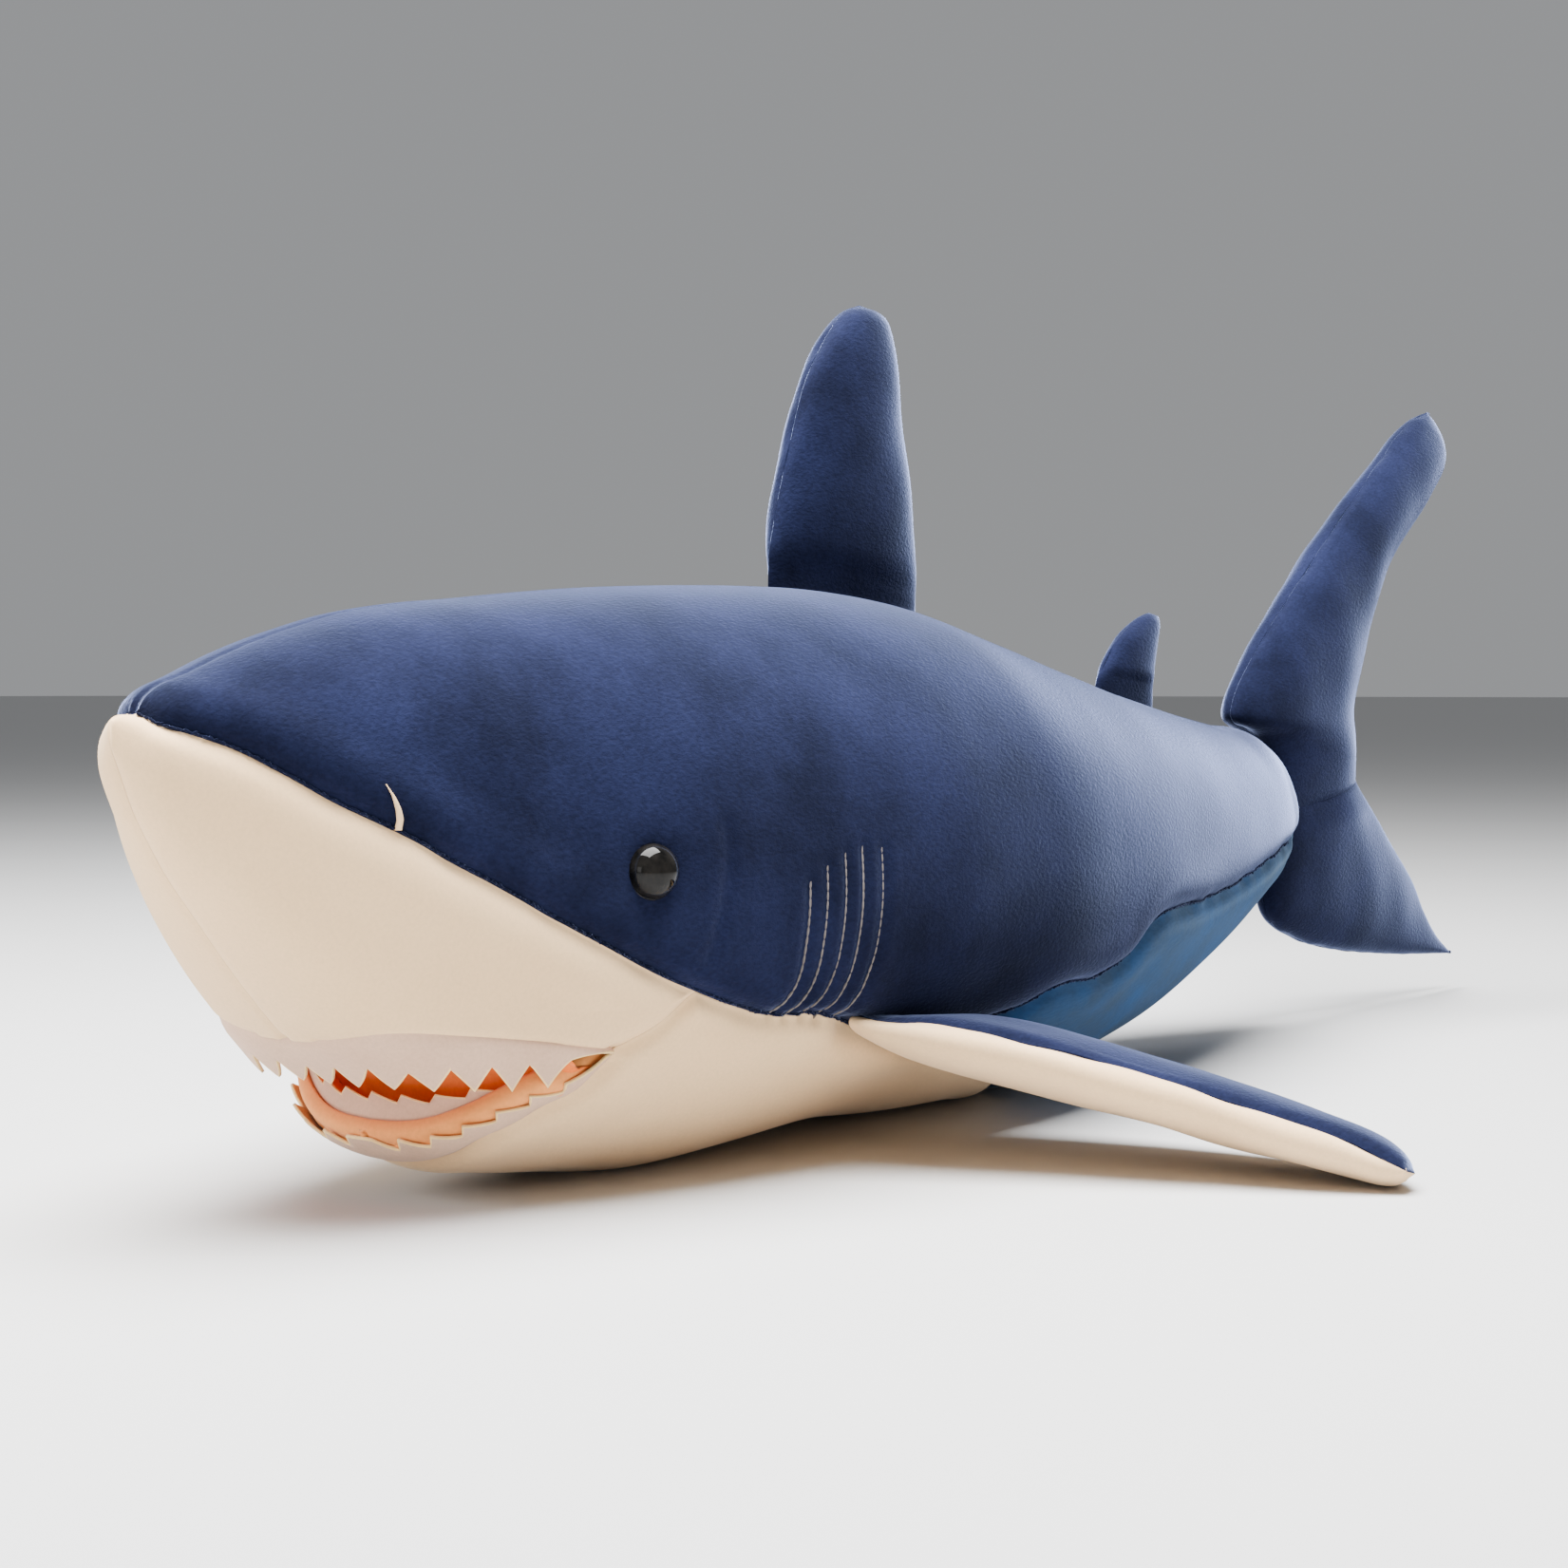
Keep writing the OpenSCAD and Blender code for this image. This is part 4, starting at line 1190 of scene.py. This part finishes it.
# mm inside the plain shape, so that nothing shows through the skins
fillSet = {"inset": 7.0, "jawInset": 5.5, "finInset": 3.2, "lump": 0.36}


def makeFillings():
    s = np.linspace(16, 600, 150)[:, None]
    grid = skin(s, roundAngles(72), fillSet["inset"])
    # it stays above the mouth, and behind it reaches down to the belly
    lowest = np.interp(s, [0, 134, 156, 162], [62, 60, 26, 0]) + 0 * grid[..., 2]
    grid[..., 2] = np.maximum(grid[..., 2], lowest)
    grid[..., 0] *= 1 + 0.01 * waves(grid, 9, 81)
    thing = closedTube("body_stuffing", grid)
    finishPiece(thing, "fibre_fill", "torso", ["body_filling"])
    s = np.linspace(97, 142, 30)[:, None]
    cap = angleAt(s, np.interp(s, [90, 100, 150], [14, 19, 32]))
    half = np.linspace(0, 1, 40)[None, :]
    grid = skin(s, -180 - cap + (180 + 2 * cap) * half, fillSet["jawInset"])
    thing = closedTube("jaw_stuffing", grid)
    finishPiece(thing, "fibre_fill", None, ["jaw_filling"], bend=jawBend)
    for piece, fin, node, bend, mirror in (
            ("dorsal_stuffing", "dorsal", "dorsal_filling", dorsalBend, False),
            ("second_dorsal_stuffing", "second", "second_dorsal_filling", secondBend, False),
            ("tail_stuffing_upper", "tailUp", "tail_filling", tailBend, False),
            ("tail_stuffing_lower", "tailDown", "tail_filling", tailBend, False),
            ("left_fin_stuffing", "side", "left_fin_filling", sideBend("left"), False),
            ("right_fin_stuffing", "side", "right_fin_filling", sideBend("right"), True)):
        grid = finGrid(fin, 0, 360, 50, 33, fillSet["finInset"])[0][3:-2, :-1]
        grid = grid + fillSet["lump"] * waves(grid, 7, 83)[..., None] * np.array(fins[fin]["up"])
        thing = closedTube(piece, mirrored(grid) if mirror else grid)
        finishPiece(thing, "fibre_fill", None, [node], bend=bend)
    print("filling put in")


makeFillings()


def lathe(name, outline, turn, material, node, steps=48):
    # a turned piece from (radius, height) rows, placed by a matrix in pattern mm
    outline = np.array(outline, float)
    a = np.linspace(0, 2 * np.pi, steps, endpoint=False)[None, :]
    grid = np.stack([outline[:, :1] * np.cos(a), outline[:, :1] * np.sin(a), outline[:, 1:] + 0 * a], -1)
    return finishPiece(closedTube(name, grid @ turn[0].T + turn[1]), material, "torso", [node])


def makeEyes():
    tilt = np.array(Matrix.Rotation(math.radians(-20), 3, "Z") @ Matrix.Rotation(math.radians(84), 3, "Y"))
    spot = sewn(np.array([eyeSet["s"]]), angleAt(np.array([eyeSet["s"]]), eyeSet["z"]))[0]
    # rows of (radius, height over the fabric), from the post up over the dome
    turns = np.linspace(0, math.pi / 2, 18)[:-1]
    dome = [(7.6 * math.cos(a), 0.9 + 6.4 * math.sin(a)) for a in turns] + [(0.15, 7.3)]
    eye = [(2.5, -12), (2.5, -0.6), (7.6, -0.6), (8.1, -0.3), (8.2, 0.2), (7.95, 0.65)] + dome
    washer = [(2.6, -7.2), (3.6, -7.2), (3.6, -6.0), (9.2, -5.6), (10, -5.6), (10, -4.4), (9.4, -4.2),
              (2.6, -4.2)]
    for word, k in twoSides:
        flip = np.diag([k, 1.0, 1.0])
        turn = (flip @ tilt, flip @ spot)
        lathe("safety_eye_" + word, eye, turn, "eye_black", "eye_" + word)
        lathe("lock_washer_" + word, washer, turn, "washer_white", "eye_washer_" + word)
    print("eyes locked in")


makeEyes()

nostrilSet = {"path": [(53.1, 119.8), (54.6, 116.9), (55.8, 113.5), (56.5, 110.6), (56.4, 108.0)],
              "wide": 1.15, "high": 0.9, "lift": 0.3}


def makeNostrils(rows=30, cols=12):
    t = np.linspace(0, 1, rows)
    s, z = alongRow(np.array(nostrilSet["path"]), t).T
    middle = sewn(s, angleAt(s, z))
    n = skinNormal(s, angleAt(s, z))
    side = np.cross(n, unit(np.gradient(middle, axis=0)))
    wide = nostrilSet["wide"] * (0.12 + 0.88 * np.sin(np.pi * np.clip(t, 0, 1) ** 1.5 * 0.62))
    a = np.linspace(0, 2 * np.pi, cols, endpoint=False)
    grid = (middle[:, None] + side[:, None] * (wide[:, None] * np.cos(a))[..., None]
            + n[:, None] * (nostrilSet["lift"] + nostrilSet["high"] * wide[:, None] * np.sin(a))[..., None])
    for word, k in twoSides:
        thing = closedTube("nostril_fold_" + word, grid * np.array([k, 1, 1]))
        finishPiece(thing, "cream_velvet", "torso", ["nostril_" + word])


makeNostrils()


def repeatTree(name, tufted):
    # puts small pieces along a line: stitches that follow it, or tufts of pile that stand on it
    tree = bpy.data.node_groups.new(name, "GeometryNodeTree")
    for label, kind, value in (
            ("Line", "Geometry", None), ("Spacing", "Float", 0.003), ("Length", "Float", 0.003),
            ("Radius", "Float", 0.0004), ("Scatter", "Float", 0.3), ("Seed", "Int", 1),
            ("Material", "Material", None)):
        socket = tree.interface.new_socket(label, in_out="INPUT", socket_type="NodeSocket" + kind)
        if value is not None:
            socket.default_value = value
    tree.interface.new_socket("Pieces", in_out="OUTPUT", socket_type="NodeSocketGeometry")
    kinds = {
        "given": "NodeGroupInput", "out": "NodeGroupOutput", "line": "GeometryNodeMeshToCurve",
        "spread": "GeometryNodeResampleCurve", "tangent": "GeometryNodeInputTangent",
        "turn": "FunctionNodeAlignRotationToVector", "ball": "GeometryNodeMeshIcoSphere",
        "size": "ShaderNodeCombineXYZ", "half": "ShaderNodeMath", "shape": "GeometryNodeTransform",
        "place": "GeometryNodeInstanceOnPoints", "low": "ShaderNodeMath", "high": "ShaderNodeMath",
        "random": "FunctionNodeRandomValue", "real": "GeometryNodeRealizeInstances",
        "paint": "GeometryNodeSetMaterial"}
    values = [("ball", "Radius", 1.0), ("ball", "Subdivisions", 2), ("half", 1, 0.5), ("low", 0, 1.0),
              ("high", 0, 1.0)]
    links = [
        # from, its output, to, its input
        ("given", "Line", "line", "Mesh"), ("line", "Curve", "spread", "Curve"),
        ("given", "Spacing", "spread", "Length"), ("tangent", 0, "turn", "Vector"),
        ("given", "Length", "half", 0), ("given", "Radius", "size", "X"), ("given", "Radius", "size", "Y"),
        ("half", 0, "size", "Z"), ("ball", "Mesh", "shape", "Geometry"), ("size", 0, "shape", "Scale"),
        ("spread", "Curve", "place", "Points"), ("shape", "Geometry", "place", "Instance"),
        ("turn", "Rotation", "place", "Rotation"), ("given", "Scatter", "low", 1),
        ("given", "Scatter", "high", 1), ("low", 0, "random", 2), ("high", 0, "random", 3),
        ("given", "Seed", "random", "Seed"), ("random", 1, "place", "Scale"),
        ("real", "Geometry", "paint", "Geometry"), ("given", "Material", "paint", "Material"),
        ("paint", "Geometry", "out", "Pieces")]
    if tufted:
        # each tuft leans its own way
        kinds.update({"lean": "FunctionNodeRandomValue", "rotate": "GeometryNodeRotateInstances"})
        links += [("given", "Seed", "lean", "Seed"), ("place", "Instances", "rotate", "Instances"),
                  ("lean", 0, "rotate", "Rotation")]
        values += [("lean", 0, (-0.7, -0.7, -3.1)), ("lean", 1, (0.7, 0.7, 3.1))]
    links.append(("rotate" if tufted else "place", "Instances", "real", "Geometry"))
    node = {key: tree.nodes.new(kind) for key, kind in kinds.items()}
    node["spread"].mode, node["turn"].axis = "LENGTH", "Z"
    node["half"].operation, node["low"].operation, node["high"].operation = "MULTIPLY", "SUBTRACT", "ADD"
    if tufted:
        node["lean"].data_type = "FLOAT_VECTOR"
    for key, socket, value in values:
        node[key].inputs[socket].default_value = value
    for start, output, end, given in links:
        tree.links.new(node[start].outputs[output], node[end].inputs[given])
    return tree


stitchTree = repeatTree("stitches along a line", False)
tuftTree = repeatTree("tufts along a line", True)


def alongLines(name, lines, tree, material, look):
    # lines in pattern mm become a plain mesh of stitches or tufts
    points, edges = [], []
    for line in lines:
        edges += [(len(points) + i, len(points) + i + 1) for i in range(len(line) - 1)]
        points += [tuple(p) for p in toFrame(line)]
    mesh = bpy.data.meshes.new(name)
    mesh.from_pydata(points, edges, [])
    thing = addObject(name, mesh)
    modifier = thing.modifiers.new("repeat", "NODES")
    modifier.node_group = tree
    ids = {item.name: item.identifier for item in tree.interface.items_tree if item.in_out == "INPUT"}
    modifier[ids["Material"]] = materials[material]
    for label, size in (("Spacing", mm), ("Length", mm), ("Radius", mm), ("Scatter", 1), ("Seed", 1)):
        modifier[ids[label]] = look[label.lower()] * size
    applyModifiers(thing)
    return thing


# mm, with the lift over the finished surface
gillThread = {"spacing": 2.7, "length": 3.1, "radius": 0.38, "scatter": 0.06, "seed": 3, "lift": 0.25}
pileSet = {"spacing": 0.8, "length": 1.7, "radius": 0.3, "scatter": 0.45, "seed": 7, "lift": 0.45,
           "above": 0.7}


def lifted(line, amount):
    # a line on the body, moved onto the finished surface
    return sewn(line[:, 1], angleOf(line), amount)


def makeGills():
    lines = [lifted(line, gillThread["lift"]) for line in gillLines()]
    for word, k in twoSides:
        sided = [line * np.array([k, 1, 1]) for line in lines]
        thing = alongLines("gill_stitches_" + word, sided, stitchTree, "gill_thread", gillThread)
        finishPiece(thing, "gill_thread", "torso", ["gill_stitching_" + word])


def makePile():
    # navy pile that stands over the pale panels along the side seams
    edge = lifted(sideSeamLine(900) + np.array([0, 0, pileSet["above"]]), pileSet["lift"])
    for word, k in twoSides:
        sided = [edge * np.array([k, 1, 1])]
        thing = alongLines("seam_pile_" + word, sided, tuftTree, "navy_velvet", pileSet)
        finishPiece(thing, "navy_velvet", "torso")


makeGills()
makePile()
print("stitches and pile added")

studio = {"floor": (0.50, 0.50, 0.50), "floorSize": 80, "floorRough": 0.9, "world": 0.34,
          "sky": (0.95, 0.97, 1.0), "aim": (0, -0.05, 0.08),
          # name, place, size, power
          "lamps": [("top", (0.0, -0.25, 1.25), 1.1, 145), ("key", (-1.1, -1.4, 0.7), 0.7, 24),
                    ("front", (0.0, -1.7, 0.3), 0.5, 2.5)]}


def addStudio():
    bpy.ops.mesh.primitive_plane_add(size=studio["floorSize"], location=(0, 0, 0))
    floor = bpy.context.object
    floor.name = "floor"
    material, _, _, surface = newMaterial("floor")
    setInputs(surface, {"Base Color": (*studio["floor"], 1), "Roughness": studio["floorRough"]})
    floor.data.materials.append(material)
    world = bpy.data.worlds.new("studio")
    world.use_nodes = True
    sky = world.node_tree.nodes["Background"]
    setInputs(sky, {"Color": (*studio["sky"], 1), "Strength": studio["world"]})
    bpy.context.scene.world = world
    for name, place, size, power in studio["lamps"]:
        data = bpy.data.lights.new(name, "AREA")
        data.size, data.energy = size, power
        lamp = addObject(name, data)
        lamp.location = place
        lamp.rotation_euler = (Vector(studio["aim"]) - Vector(place)).to_track_quat("-Z", "Y").to_euler()


addStudio()
